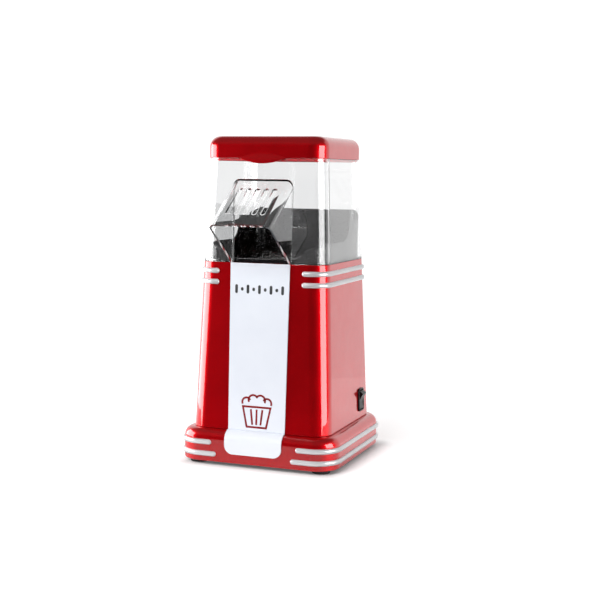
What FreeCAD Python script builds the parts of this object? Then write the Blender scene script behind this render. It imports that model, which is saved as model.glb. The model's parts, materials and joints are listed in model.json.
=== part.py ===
import FreeCAD, Part

import math
import os

# Hot-air popcorn maker in millimetres. +Z is up, -Y is the front with the chute, +X is the switch side.
# The origin is on the floor plane, on the upright axis shared by the casing, the chamber and the fan.

V = FreeCAD.Vector
UP = V(0, 0, 1)
ORIGIN = V(0, 0, 0)

# ---- driving dimensions of the outside ----
TOTAL_TOP_Z = 300.0
SKIRT_BOTTOM_Z = 4.0
BASE_TOP_Z = 33.0
BODY_TOP_Z = 186.0
COVER_TOP_Z = 280.2
BASE_HALF = 75.9
BASE_CORNER_R = 22.0
SHOULDER_R = 8.6
BODY_BOTTOM_HALF = 67.1
BODY_TOP_HALF = 61.0
COVER_TOP_HALF = 57.2
BODY_CORNER_R = 16.4
WALL = 2.5
CLEAR_WALL = 2.2
FIT_GAP = 0.4

# ---- trim ----
BAND_HEIGHT = 4.7
BAND_PROUD = 2.0
BODY_BAND_Z = {"body_band_upper": 178.0, "body_band_lower": 168.0}
BASE_BAND_Z = {"base_band_upper": 21.8, "base_band_lower": 11.1}
BAND_END_X = {"body_band_upper": 40.0, "body_band_lower": 40.0,
              "base_band_upper": 41.0, "base_band_lower": 36.3}
STRIP_PROUD = 1.0
STRIP_TOP_HALF = 28.8
STRIP_BOTTOM_HALF = 27.7
STRIP_LOW_Z = 12.7
STRIP_CORNER_R = 8.0

# ---- base, feet and fasteners ----
PLATE_Z = 5.0
PLATE_THICK = 2.5
FOOT_X = 60.0
FOOT_R = 9.0
FOOT_SCREW_BORE_R = 2.2
SCREW_R = 1.75
SCREW_HEAD_R = 3.6
DECK_OPENING_R = 57.0
BODY_POST_X = 49.0
DECK_POST_X = 45.0
POST_R = 4.6

# ---- black bowl guard ----
GUARD_HALF = 56.0
GUARD_CORNER_R = 14.0
GUARD_WALL = 1.8
GUARD_REAR_Z = 232.5
GUARD_SIDE_Z = 204.0
GUARD_FRONT_Z = 190.0
GUARD_REAR_CORNER_R = 9.0
GUARD_DIP_HALF = 25.0
GUARD_DIP_END = (53.0, 202.0)
GUARD_RISE_Y = 36.0

# ---- popping chamber, duct, heater and fan ----
CHAMBER_R = 43.0
CHAMBER_WALL = 1.0
CHAMBER_FLOOR_Z = 104.0
CHAMBER_RIM_Z = 182.0
CHAMBER_RIM_R = 50.0
LOUVRE_COUNT = 24
GASKET_THICK = 1.5
DUCT_R = 49.3
DUCT_WALL = 1.8
DUCT_BOTTOM_Z = 58.0
DECK_Z = 172.0
DECK_THICK = 3.0
COIL_Z = 90.0
COIL_TUBE_R = 1.6
COIL_FIRST_R = 11.0
COIL_STEP = 5.0
COIL_HALF_TURNS = 6
MICA_THICK = 0.8
MICA_Z = (78.0, 102.0)
MICA_HALF = 46.5
FAN_R = 45.5
FAN_Z = (60.5, 72.0)
FAN_BLADES = 7
MOTOR_R = 14.2
MOTOR_Z = (22.0, 55.5)
SHAFT_R = 1.15
SHAFT_GAP = 0.05
MOUNT_THICK = 2.5
MOUNT_RING_R = (43.0, 50.0)
EAR_X = 53.5
EAR_ANGLES = (90.0, 210.0, 330.0)

# ---- heater terminals: each is the direction, sideways offset and height of a bolt through the duct ----
TERMINAL_R = 2.0
TERMINAL_LENGTH = 5.8
TERMINAL_INNER_R = 46.2
TERMINALS = ((0.0, 4.0, COIL_Z), (-90.0, COIL_FIRST_R - COIL_STEP / 2, COIL_Z - 10))

# ---- electrical pieces ----
BOARD_STANDS = ((-62.0, 22.0), (-62.0, 44.0))
DIODE_Y = (22.0, 29.0, 36.0, 43.0)
BLOCK_X = (16.0, 24.0, 32.0)
BLOCK_Y = (54.0, 60.0)
BLOCK_PAD_HEIGHT = 2.0
THERMOSTAT_Z = 140.0
FUSE_Z = 150.0
FUSE_OFFSET = 3.2

# ---- chute hood ----
HOOD_HALF = 29.2
HOOD_WALL = 2.0
HOOD_CORNER_R = 6.5
HOOD_TIP = V(0, -112.5, 222.0)
HOOD_BACK_Z = 259.5
HOOD_BACK_INSET = 3.4
SLOT_COUNT = 5
SLOT_PITCH = 8.2
SLOT_WIDTH = 4.6
SLOT_Z = (231.3, 253.2)

# ---- lid ----
LID_HALF = 57.6
LID_CORNER_R = 16.0
LID_ROUND_R = 10.0
LID_WALL = 2.2
PLUG_HALF = 54.5
PLUG_BOTTOM_Z = 275.3
LIP_HALF = 22.5

# ---- rocker switch on the +X side, and the cord gland in the rear wall ----
SWITCH_Y = 33.0
SWITCH_Z = 51.0
BEZEL_HALF_Y = 7.5
BEZEL_HALF_Z = 11.0
BEZEL_THICK = 1.6
WINDOW_HALF_Y = 5.7
WINDOW_HALF_Z = 9.7
ROCKER_HALF_Y = 5.4
ROCKER_R = 9.4
ROCKER_PIVOT_X = -2.4
ROCKER_REST_DEG = -12.0
GLAND_X = 30.0
GLAND_Z = 50.0
GLAND_NECK_R = 6.4
GLAND_BORE_R = 3.5

FRONT_REACH = 200.0
WALL_LEAN = math.atan((BODY_BOTTOM_HALF - BODY_TOP_HALF) / (BODY_TOP_Z - BASE_TOP_Z))

# ---- internal leads, each a route of fixed points from one terminal to the next ----
LEAD_R = 1.0
LEAD_BEND_R = 60.0
LEAD_ROUTES = {
    "lead_block_to_switch": [V(32, 51, 14.5), V(32, 40, 14.5), V(32, 33, 26), V(32, 33, 44), V(41.2, 33, 44)],
    "lead_switch_to_heater": [V(41.2, 33, 50), V(34, 34, 50), V(34, 46, 52), V(42, 46, 66), V(54, 26, 80),
                              V(58.5, 5, 89), V(52.5, 4, 90)],
    "lead_heater_to_thermostat": [V(8.5, -52.8, 80), V(6, -56.5, 81), V(-12, -56.5, 92), V(-36, -50, 108),
                                  V(-52, -36, 124), V(-57.9, -20, 138), V(-57.9, -7.0, 140)],
    "lead_thermostat_to_fuse": [V(-57.9, 7.0, 140), V(-57.9, 20, 138), V(-50, 38, 136), V(-34, 52.5, 140),
                                V(-25, 52.5, 149), V(-15.2, 52.5, 150)],
    "lead_fuse_to_block": [V(15.2, 52.5, 150), V(21, 54, 144), V(16, 56, 124), V(12, 56, 90), V(12, 56, 60),
                           V(13, 52, 44), V(15, 43, 30), V(16, 38, 20), V(16, 42, 14.5), V(16, 51, 14.5)],
    "lead_motor_positive": [V(-42, 26, 13.6), V(-42, 26, 20), V(-24, -10, 19), V(-6.5, -10, 19)],
    "lead_motor_negative": [V(-42, 36, 13.6), V(-42, 36, 18), V(-28, 0, 15), V(-20, -20, 15.5),
                            V(-4, -23, 17), V(5, -18, 19), V(5, -10.4, 19)],
}


# ---- helpers ----
def body_half(z):
    """Half width of the tapered red casing at height z."""
    t = (z - BASE_TOP_Z) / (BODY_TOP_Z - BASE_TOP_Z)
    return BODY_BOTTOM_HALF + t * (BODY_TOP_HALF - BODY_BOTTOM_HALF)


def cover_half(z):
    """Half width of the tapered clear cover at height z."""
    t = (z - BODY_TOP_Z) / (COVER_TOP_Z - BODY_TOP_Z)
    return BODY_TOP_HALF + t * (COVER_TOP_HALF - BODY_TOP_HALF)


def rounded_wire(half_x, half_y, corner, z):
    """Closed rounded rectangle centred on the axis, at height z."""
    edges = []
    centres = [(1, 1, 0), (-1, 1, 90), (-1, -1, 180), (1, -1, 270)]
    arcs = []
    for sx, sy, start in centres:
        c = V(sx * (half_x - corner), sy * (half_y - corner), z)
        points = [c + V(math.cos(math.radians(start + a)), math.sin(math.radians(start + a)), 0) * corner
                  for a in (0, 45, 90)]
        arcs.append(points)
    for i, points in enumerate(arcs):
        edges.append(Part.Arc(*points).toShape())
        edges.append(Part.LineSegment(points[2], arcs[(i + 1) % 4][0]).toShape())
    return Part.Wire(edges)


def rounded_prism(half, corner, z0, z1, half_y=None):
    wire = rounded_wire(half, half if half_y is None else half_y, corner, z0)
    return Part.Face(wire).extrude(V(0, 0, z1 - z0))


def tapered_block(sections, corner):
    """Straight-sided loft through (z, half width) sections."""
    wires = [rounded_wire(half, half, corner, z) for z, half in sections]
    return Part.makeLoft(wires, True, True)


def body_block(z0, z1, inset):
    return tapered_block([(z, body_half(z) - inset) for z in (z0, z1)], BODY_CORNER_R - inset)


def cover_block(z0, z1, inset):
    return tapered_block([(z, cover_half(z) - inset) for z in (z0, z1)], BODY_CORNER_R - inset)


def box(x0, x1, y0, y1, z0, z1):
    return Part.makeBox(x1 - x0, y1 - y0, z1 - z0, V(x0, y0, z0))


def rod(radius, z0, z1, x=0.0, y=0.0):
    return Part.makeCylinder(radius, z1 - z0, V(x, y, z0), UP)


def ring(outer_r, inner_r, z0, z1, x=0.0, y=0.0):
    return rod(outer_r, z0, z1, x, y).cut(rod(inner_r, z0, z1, x, y))


def revolved(points):
    """Solid of revolution about the upright axis from (radius, z) points."""
    corners = [V(r, 0, z) for r, z in points]
    return Part.Face(Part.makePolygon(corners + corners[:1])).revolve(ORIGIN, UP, 360)


def prism_x(points, half_width):
    """Extrudes a closed (y, z) outline along X, centred on the axis."""
    corners = [V(-half_width, y, z) for y, z in points]
    return Part.Face(Part.makePolygon(corners + corners[:1])).extrude(V(2 * half_width, 0, 0))


def turned(shape, degrees, axis=UP, centre=ORIGIN):
    copy = shape.copy()
    copy.rotate(centre, axis, degrees)
    return copy


def moved(shape, offset):
    copy = shape.copy()
    copy.translate(offset)
    return copy


def fuse_all(shapes):
    return shapes[0].multiFuse(shapes[1:]).removeSplitter() if len(shapes) > 1 else shapes[0]


def corner_points(x):
    return [(sx * x, sy * x) for sx in (1, -1) for sy in (1, -1)]


def edges_at(shape, z):
    """The edges that lie wholly in the plane at height z."""
    return [e for e in shape.Edges if abs(e.BoundBox.ZMin - z) < 1e-4 and abs(e.BoundBox.ZMax - z) < 1e-4]


def domed_prism(half, corner, z0, z1, radius):
    """Rounded prism whose top outer edge is rolled over with the given radius."""
    block = rounded_prism(half, corner, z0, z1)
    return block.makeFillet(radius, edges_at(block, z1))


def s_curve(start, end):
    """Two equal tangent arcs in a (u, v) plane that leave start and reach end parallel to u."""
    du = end[0] - start[0]
    dv = end[1] - start[1]
    turn = 2 * math.atan2(abs(dv), abs(du))
    radius = abs(du) / (2 * math.sin(turn))
    su = math.copysign(1, du)
    sv = math.copysign(1, dv)
    half = turn / 2
    mid = ((start[0] + end[0]) / 2, (start[1] + end[1]) / 2)
    first = (start[0] + su * radius * math.sin(half), start[1] + sv * radius * (1 - math.cos(half)))
    second = (end[0] - su * radius * math.sin(half), end[1] - sv * radius * (1 - math.cos(half)))
    return [(start, first, mid), (mid, second, end)]


def screw(x, y, head_z, tip_z, head_height=2.0, head_r=SCREW_HEAD_R, shaft_r=SCREW_R):
    """Cross-head screw that points up: its head hangs below head_z and its shaft ends at tip_z."""
    head = rod(head_r, head_z - head_height, head_z, x, y)
    head = head.makeFillet(0.6, edges_at(head, head_z - head_height))
    shaft = rod(shaft_r, head_z, tip_z, x, y)
    slot_half = head_r * 0.55
    cross = box(-slot_half, slot_half, -0.4, 0.4, head_z - head_height, head_z - head_height + 0.9)
    cross = moved(cross.fuse(turned(cross, 90)), V(x, y, 0))
    return head.cut(cross).fuse(shaft).removeSplitter()


def rounded_path(points, radius):
    """Straight runs through the points, joined by tangent arcs of about the given radius."""
    edges = []
    at = points[0]
    for i in range(1, len(points) - 1):
        before = points[i - 1] - points[i]
        after = points[i + 1] - points[i]
        run = min(before.Length, after.Length)
        turn = math.pi - before.getAngle(after)
        r = min(radius, 0.45 * run / math.tan(turn / 2))
        back = r * math.tan(turn / 2)
        start = points[i] + V(before).normalize() * back
        end = points[i] + V(after).normalize() * back
        bisector = (V(before).normalize() + V(after).normalize()).normalize()
        middle = points[i] + bisector * (r / math.cos(turn / 2) - r)
        edges.append(Part.LineSegment(at, start).toShape())
        edges.append(Part.Arc(start, middle, end).toShape())
        at = end
    edges.append(Part.LineSegment(at, points[-1]).toShape())
    return edges


def tube_along(edges, radius):
    """Round bar that follows a tangent-continuous chain of edges."""
    path = Part.Wire(edges)
    first = path.OrderedEdges[0]
    start = first.valueAt(first.FirstParameter)
    heading = first.tangentAt(first.FirstParameter)
    section = Part.Wire([Part.makeCircle(radius, start, heading)])
    return path.makePipeShell([section], True, False)


# ---- casing ----
def corner_posts(x, z0, z1, rib_z0, block):
    """Four screw posts, each tied to its casing corner by a rib trimmed to the casing."""
    posts = []
    for px, py in corner_points(x):
        posts.append(rod(POST_R, z0, z1, px, py))
        rib = box(0, 30, -1.2, 1.2, rib_z0, z1)
        rib = turned(rib, math.degrees(math.atan2(py, px)))
        posts.append(moved(rib, V(px, py, 0)))
    return fuse_all(posts).common(block)


def make_main_housing():
    foot_inset = 0.9
    sections = [
        (BASE_TOP_Z, body_half(BASE_TOP_Z) - foot_inset),
        (BASE_TOP_Z + foot_inset, body_half(BASE_TOP_Z + foot_inset)),
        (BODY_TOP_Z, BODY_TOP_HALF),
    ]
    outer = tapered_block(sections, BODY_CORNER_R)
    shell = outer.cut(body_block(BASE_TOP_Z - 1, BODY_TOP_Z + 1, WALL))
    trim = body_block(BASE_TOP_Z, BODY_TOP_Z, WALL / 2)
    low_posts = corner_posts(BODY_POST_X, BASE_TOP_Z, 56.0, 39.0, trim)
    high_posts = corner_posts(DECK_POST_X, 148.0, DECK_Z, 148.0, trim)
    housing = fuse_all([shell, low_posts, high_posts])
    for px, py in corner_points(BODY_POST_X):
        housing = housing.cut(rod(SCREW_R, BASE_TOP_Z, 50.0, px, py))
    for px, py in corner_points(DECK_POST_X):
        housing = housing.cut(rod(SCREW_R, 156.0, DECK_Z, px, py))
    window = box(-10, 10, -BEZEL_HALF_Y + 0.5, BEZEL_HALF_Y - 0.5, -BEZEL_HALF_Z + 0.7, BEZEL_HALF_Z - 0.7)
    housing = housing.cut(on_side_face(window))
    wall_centre = V(GLAND_X, body_half(GLAND_Z) - WALL / 2, GLAND_Z)
    square_to_wall = V(0, math.cos(WALL_LEAN), math.sin(WALL_LEAN))
    gland_hole = Part.makeCylinder(GLAND_NECK_R + 0.2, 20, wall_centre - square_to_wall * 10, square_to_wall)
    return housing.cut(gland_hole)


def skirt_outer(grow=0.0):
    """Outer form of the base skirt, optionally grown outwards and upwards."""
    return domed_prism(BASE_HALF + grow, BASE_CORNER_R + grow, SKIRT_BOTTOM_Z, BASE_TOP_Z + grow,
                       SHOULDER_R + grow)


def make_base_skirt():
    inner = domed_prism(BASE_HALF - WALL, BASE_CORNER_R - WALL, SKIRT_BOTTOM_Z - 1, BASE_TOP_Z - WALL,
                        SHOULDER_R - WALL)
    shell = skirt_outer().cut(inner).cut(rod(DECK_OPENING_R, BASE_TOP_Z - 5, BASE_TOP_Z + 5))
    plate_top = PLATE_Z + PLATE_THICK
    posts = [rod(POST_R, plate_top, BASE_TOP_Z - 1, px, py) for px, py in corner_points(FOOT_X)]
    rim_half = body_half(BASE_TOP_Z + 4) - WALL - FIT_GAP
    rim_corner = BODY_CORNER_R - WALL - FIT_GAP
    rim_wall = WALL - 0.7
    rim = rounded_prism(rim_half, rim_corner, BASE_TOP_Z - 1, BASE_TOP_Z + 4)
    hollow = rounded_prism(rim_half - rim_wall, rim_corner - rim_wall, BASE_TOP_Z - 2, BASE_TOP_Z + 5)
    rim = rim.cut(hollow)
    skirt = fuse_all([shell, rim] + posts)
    for px, py in corner_points(FOOT_X):
        skirt = skirt.cut(rod(SCREW_R, plate_top, 26.0, px, py))
    for px, py in corner_points(BODY_POST_X):
        skirt = skirt.cut(rod(FOOT_SCREW_BORE_R, BASE_TOP_Z - 5, BASE_TOP_Z + 1, px, py))
    return skirt


def make_bottom_plate():
    edge = WALL + FIT_GAP
    plate = rounded_prism(BASE_HALF - edge, BASE_CORNER_R - edge, PLATE_Z, PLATE_Z + PLATE_THICK)
    slots = []
    grille_r = 46.0
    slot_r = 2.0
    for i in range(-5, 6):
        y = i * 8.0
        reach = math.sqrt(grille_r ** 2 - y ** 2) - slot_r
        for x0, x1 in ((-reach, -slot_r - 2.0), (slot_r + 2.0, reach)):
            slots.append(box(x0, x1, y - slot_r, y + slot_r, 0, 20))
            slots.append(rod(slot_r, 0, 20, x0, y))
            slots.append(rod(slot_r, 0, 20, x1, y))
    for px, py in corner_points(FOOT_X):
        slots.append(rod(FOOT_SCREW_BORE_R, 0, 20, px, py))
    plate = plate.cut(Part.makeCompound(slots))
    top = PLATE_Z + PLATE_THICK
    stands = [rod(2.6, top - 0.5, 12.0, x, y) for x, y in BOARD_STANDS]
    stands.append(box(10, 38, 50, 64, top - 0.5, top + BLOCK_PAD_HEIGHT))
    return fuse_all([plate] + stands)


def make_foot(px, py):
    foot = Part.makeCone(FOOT_R - 0.8, FOOT_R, PLATE_Z, V(px, py, 0), UP)
    foot = foot.makeFillet(0.8, edges_at(foot, 0.0))
    foot = foot.cut(rod(FOOT_SCREW_BORE_R, -1, PLATE_Z + 1, px, py))
    return foot.cut(rod(SCREW_HEAD_R + 0.6, -1, 2.6, px, py))


def make_foot_screws():
    return Part.makeCompound([screw(px, py, 2.6, 24.0) for px, py in corner_points(FOOT_X)])


def make_housing_screws():
    head_z = BASE_TOP_Z - WALL
    return Part.makeCompound([screw(px, py, head_z, 48.0) for px, py in corner_points(BODY_POST_X)])


# ---- trim ----
def make_band(name, half, corner, z, backing):
    """Half-round trim bead that wraps the casing and stops short of the front strip in rounded ends."""
    path = rounded_wire(half, half, corner, z)
    start = path.OrderedEdges[0].valueAt(path.OrderedEdges[0].FirstParameter)
    r = BAND_HEIGHT / 2
    embed = 0.8
    section = [V(-embed, 0, -r), V(0, 0, -r), V(BAND_PROUD, 0, 0), V(0, 0, r), V(-embed, 0, r)]
    section = [start + p for p in section]
    outline = Part.Wire([
        Part.LineSegment(section[0], section[1]).toShape(),
        Part.Arc(section[1], section[2], section[3]).toShape(),
        Part.LineSegment(section[3], section[4]).toShape(),
        Part.LineSegment(section[4], section[0]).toShape(),
    ])
    bead = path.makePipeShell([outline], True, False).cut(backing)
    gap = BAND_END_X[name] + r
    opening = box(-gap, gap, -FRONT_REACH, 0, z - 10, z + 10)
    for side in (-gap, gap):
        end_round = Part.makeCylinder(r, FRONT_REACH, V(side, -FRONT_REACH, z), V(0, 1, 0))
        opening = opening.cut(end_round)
    return bead.cut(opening)


def strip_outline(z0, z1, low_half, high_half, corner=0.0):
    """Front-view outline of the white strip between two heights, extruded through the front wall."""
    y = -FRONT_REACH
    corners = [V(-low_half, y, z0), V(low_half, y, z0), V(high_half, y, z1), V(-high_half, y, z1)]
    plate = Part.Face(Part.makePolygon(corners + corners[:1])).extrude(V(0, FRONT_REACH, 0))
    if corner:
        plate = plate.makeFillet(corner, [e for e in plate.Edges if abs(e.BoundBox.ZMax - z0) < 1e-4
                                          and e.BoundBox.YLength > 1])
    return plate


def make_front_strip():
    low_z = BASE_TOP_Z + STRIP_PROUD
    skin = body_block(low_z, BODY_TOP_Z, -STRIP_PROUD).cut(body_block(low_z - 1, BODY_TOP_Z + 1, 0.0))
    return skin.common(strip_outline(low_z, BODY_TOP_Z, STRIP_BOTTOM_HALF, STRIP_TOP_HALF))


def make_base_strip():
    skin = skirt_outer(STRIP_PROUD).cut(skirt_outer())
    strip = skin.common(strip_outline(STRIP_LOW_Z, BASE_TOP_Z + 5, STRIP_BOTTOM_HALF, STRIP_BOTTOM_HALF,
                                      STRIP_CORNER_R))
    return strip.cut(box(-50, 50, -body_half(BASE_TOP_Z), 50, 0, 60))


# ---- bowl guard ----
def guard_side_cut():
    """Everything above the guard's side view: low at the front, swept up to the tall rear wall."""
    low = (0.0, GUARD_SIDE_Z)
    high = (GUARD_RISE_Y, GUARD_REAR_Z)
    top = GUARD_REAR_Z + 10
    reach = 80.0
    edges = [Part.LineSegment(V(0, -reach, GUARD_SIDE_Z), V(0, *low)).toShape()]
    for a, b, c in s_curve(low, high):
        edges.append(Part.Arc(V(0, *a), V(0, *b), V(0, *c)).toShape())
    rest = [high, (reach, GUARD_REAR_Z), (reach, top), (-reach, top), (-reach, GUARD_SIDE_Z)]
    for a, b in zip(rest, rest[1:]):
        edges.append(Part.LineSegment(V(0, *a), V(0, *b)).toShape())
    cut = Part.Face(Part.Wire(edges)).extrude(V(2 * reach, 0, 0))
    return moved(cut, V(-reach, 0, 0))


def guard_front_cut():
    """The dip in the front wall: level behind the strip and rising towards both corners."""
    flat_x = GUARD_DIP_HALF
    end_x, end_z = GUARD_DIP_END
    reach = 80.0
    y = -reach
    edges = [Part.LineSegment(V(-flat_x, y, GUARD_FRONT_Z), V(flat_x, y, GUARD_FRONT_Z)).toShape()]
    for a, b, c in s_curve((flat_x, GUARD_FRONT_Z), GUARD_DIP_END):
        for side in (1, -1):
            points = [V(side * p[0], y, p[1]) for p in (a, b, c)]
            edges.append(Part.Arc(*points).toShape())
    top = GUARD_REAR_Z + 20
    rest = [(end_x, end_z), (reach, end_z), (reach, top), (-reach, top), (-reach, end_z), (-end_x, end_z)]
    for a, b in zip(rest, rest[1:]):
        edges.append(Part.LineSegment(V(a[0], y, a[1]), V(b[0], y, b[1])).toShape())
    wire = Part.Wire(Part.__sortEdges__(edges))
    return Part.Face(wire).extrude(V(0, reach - GUARD_HALF + GUARD_CORNER_R - 4, 0))


def guard_rear_cut():
    """Rounds the two top corners of the rear wall, seen from the front."""
    r = GUARD_REAR_CORNER_R
    cuts = []
    for side in (1, -1):
        x = side * (GUARD_HALF - r)
        x0, x1 = sorted((x, x + side * 2 * r))
        block = box(x0, x1, 20, 80, GUARD_REAR_Z - r, GUARD_REAR_Z + r)
        round_bar = Part.makeCylinder(r, 60, V(x, 20, GUARD_REAR_Z - r), V(0, 1, 0))
        cuts.append(block.cut(round_bar))
    return Part.makeCompound(cuts)


def make_bowl_guard():
    deck_top = DECK_Z + DECK_THICK
    inner_half = GUARD_HALF - GUARD_WALL
    inner_corner = GUARD_CORNER_R - GUARD_WALL
    wall = rounded_prism(GUARD_HALF, GUARD_CORNER_R, deck_top, GUARD_REAR_Z)
    wall = wall.cut(rounded_prism(inner_half, inner_corner, deck_top - 1, GUARD_REAR_Z + 1))
    wall = wall.cut(guard_side_cut()).cut(guard_front_cut()).cut(guard_rear_cut())
    mouth_r = CHAMBER_R + 1.0
    lip_z = CHAMBER_RIM_Z
    dish = revolved([(mouth_r, lip_z), (CHAMBER_RIM_R, lip_z), (80.0, lip_z + 9.0), (80.0, lip_z + 11.0),
                     (CHAMBER_RIM_R - 1.0, lip_z + 2.0), (mouth_r, lip_z + 1.2)])
    dish = dish.common(rounded_prism(GUARD_HALF - 0.5, GUARD_CORNER_R - 0.5, lip_z - 1, lip_z + 12))
    return fuse_all([wall, dish])


# ---- hot-air works ----
def make_popping_chamber():
    inner_r = CHAMBER_R - CHAMBER_WALL
    floor = CHAMBER_FLOOR_Z
    rim = CHAMBER_RIM_Z
    cup = revolved([
        (0, floor + 6), (14, floor), (inner_r - 6, floor), (CHAMBER_R, floor + 7),
        (CHAMBER_R, rim - CHAMBER_WALL), (CHAMBER_RIM_R, rim - CHAMBER_WALL), (CHAMBER_RIM_R, rim),
        (inner_r, rim), (inner_r, floor + 7.5),
        (inner_r - 6.5, floor + 1), (14.3, floor + 1), (0, floor + 7),
    ])
    louvre = box(CHAMBER_R - 6, CHAMBER_R + 6, -1.2, 1.2, -6, 6)
    louvre = moved(turned(louvre, 28, V(1, 0, 0)), V(0, 0, floor + 17))
    cuts = [turned(louvre, i * 360 / LOUVRE_COUNT) for i in range(LOUVRE_COUNT)]
    return cup.cut(Part.makeCompound(cuts))


def make_chamber_gasket():
    top = CHAMBER_RIM_Z - CHAMBER_WALL
    return ring(CHAMBER_RIM_R, CHAMBER_R + 0.3, top - GASKET_THICK, top)


def make_air_duct():
    top = CHAMBER_RIM_Z - CHAMBER_WALL - GASKET_THICK
    inner_r = DUCT_R - DUCT_WALL
    tube = rod(DUCT_R, DUCT_BOTTOM_Z, top)
    deck = rounded_prism(GUARD_HALF, GUARD_CORNER_R, DECK_Z, DECK_Z + DECK_THICK)
    ears = []
    for angle in EAR_ANGLES:
        ear = rod(4.5, DUCT_BOTTOM_Z, DUCT_BOTTOM_Z + 8, EAR_X, 0)
        ear = ear.fuse(box(DUCT_R - 3, EAR_X, -4.5, 4.5, DUCT_BOTTOM_Z, DUCT_BOTTOM_Z + 8))
        ears.append(turned(ear, angle))
    body = fuse_all([tube, deck] + ears).cut(rod(inner_r, DUCT_BOTTOM_Z - 1, top + 1))
    lug = box(MICA_HALF - 3.0, DUCT_R - 0.5, -2.5, 2.5, MICA_Z[0] - 2.5, MICA_Z[0])
    body = fuse_all([body] + [turned(lug, a) for a in (0, 90, 180, 270)])
    holes = [turned(rod(SCREW_R, DUCT_BOTTOM_Z, DUCT_BOTTOM_Z + 6, EAR_X, 0), a) for a in EAR_ANGLES]
    holes += [rod(FOOT_SCREW_BORE_R, DECK_Z - 1, DECK_Z + DECK_THICK + 1, px, py)
              for px, py in corner_points(DECK_POST_X)]
    holes += [terminal_bore(TERMINAL_R + 0.1, *place) for place in TERMINALS]
    return body.cut(Part.makeCompound(holes))


def make_deck_screws():
    """Four screws that point down through the duct's deck into the casing posts."""
    deck_top = DECK_Z + DECK_THICK
    screws = []
    for px, py in corner_points(DECK_POST_X):
        upright = screw(px, py, 0, deck_top - 158.0)
        screws.append(moved(turned(upright, 180, V(1, 0, 0), V(px, py, 0)), V(0, 0, deck_top)))
    return Part.makeCompound(screws)


def coil_edges():
    """Flat two-centre spiral of half turns, with a lead-in that passes below it and a lead-out."""
    shift = COIL_STEP / 2
    inner_x = COIL_FIRST_R - shift
    low_z = COIL_Z - 10
    points = [V(inner_x, -TERMINAL_INNER_R, low_z), V(inner_x, -10, low_z),
              V(inner_x, -10, COIL_Z), V(inner_x, 0, COIL_Z)]
    edges = rounded_path(points, 4.0)
    for k in range(COIL_HALF_TURNS):
        radius = COIL_FIRST_R + k * COIL_STEP
        side = 1 if k % 2 == 0 else -1
        centre = V(-side * shift, 0, COIL_Z)
        edges.append(Part.Arc(centre + V(side * radius, 0, 0), centre + V(0, side * radius, 0),
                              centre - V(side * radius, 0, 0)).toShape())
    outer_x = COIL_FIRST_R + (COIL_HALF_TURNS - 1) * COIL_STEP + shift
    turn_r = 4.0
    quarter = turn_r * math.sqrt(0.5)
    corner = V(outer_x + turn_r, 0, COIL_Z)
    end = corner + V(0, turn_r, 0)
    edges.append(Part.Arc(V(outer_x, 0, COIL_Z), corner + V(-quarter, quarter, 0), end).toShape())
    edges.append(Part.LineSegment(end, V(TERMINAL_INNER_R, turn_r, COIL_Z)).toShape())
    return edges


def make_heating_coil():
    return tube_along(coil_edges(), COIL_TUBE_R)


def make_mica_board(angle, lap_from_top):
    """Upright mica board with a half-lap slot, pierced where the coil passes through it."""
    z0, z1 = MICA_Z
    half = MICA_THICK / 2
    board = box(-MICA_HALF, MICA_HALF, -half, half, z0, z1)
    mid = (z0 + z1) / 2 - 8
    lap = box(-half - 0.05, half + 0.05, -5, 5, mid, z1 + 1) if lap_from_top else \
        box(-half - 0.05, half + 0.05, -5, 5, z0 - 1, mid)
    board = turned(board.cut(lap), angle)
    return board.cut(tube_along(coil_edges(), COIL_TUBE_R + 0.3))


def terminal_bore(radius, angle, offset, z):
    bar = Part.makeCylinder(radius, 12, V(TERMINAL_INNER_R, offset, z), V(1, 0, 0))
    return turned(bar, angle)


def make_heater_terminals():
    bolts = []
    for angle, offset, z in TERMINALS:
        shank = Part.makeCylinder(TERMINAL_R, TERMINAL_LENGTH, V(TERMINAL_INNER_R, offset, z), V(1, 0, 0))
        nut = Part.makeCylinder(3.6, 2.4, V(DUCT_R + 0.1, offset, z), V(1, 0, 0))
        bolts.append(turned(shank.fuse(nut).removeSplitter(), angle))
    return Part.makeCompound(bolts)


def make_thermostat():
    z = THERMOSTAT_Z
    disc = Part.makeCylinder(8.3, 6.4, V(-DUCT_R - 7.4, 0, z), V(1, 0, 0))
    flange = box(-DUCT_R - 1.6, -DUCT_R + 3, -13, 13, z - 5, z + 5).cut(rod(DUCT_R, z - 20, z + 20))
    flange = flange.cut(Part.makeCylinder(1.4, 20, V(-60, -10.5, z), V(1, 0, 0)))
    flange = flange.cut(Part.makeCylinder(1.4, 20, V(-60, 10.5, z), V(1, 0, 0)))
    blades = [box(-DUCT_R - 10.0, -DUCT_R - 7.0, y - 2.4, y + 2.4, z - 0.4, z + 0.4) for y in (-4.5, 4.5)]
    return fuse_all([disc, flange] + blades).cut(rod(DUCT_R, z - 20, z + 20))


def make_thermal_fuse():
    z = FUSE_Z
    y = DUCT_R + FUSE_OFFSET
    barrel = Part.makeCylinder(2.0, 12.0, V(-6.0, y, z), V(1, 0, 0))
    leads = [Part.makeCylinder(0.5, 9.0, V(x, y, z), V(1, 0, 0)) for x in (-15.0, 6.0)]
    return fuse_all([barrel] + leads)


def make_fuse_clip():
    """Spring clip that holds the thermal fuse against the duct."""
    z = FUSE_Z
    y = DUCT_R + FUSE_OFFSET
    clip = Part.makeCylinder(3.0, 5.0, V(-2.5, y, z), V(1, 0, 0))
    foot = box(-2.5, 2.5, DUCT_R - 1, y, z - 10, z + 2.5)
    clip = clip.fuse(foot).cut(Part.makeCylinder(2.05, 10.0, V(-5, y, z), V(1, 0, 0)))
    clip = clip.cut(rod(DUCT_R, z - 20, z + 20))
    return clip.cut(box(-5, 5, y + 1.0, y + 6, z - 5, z + 5)).removeSplitter()


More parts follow.
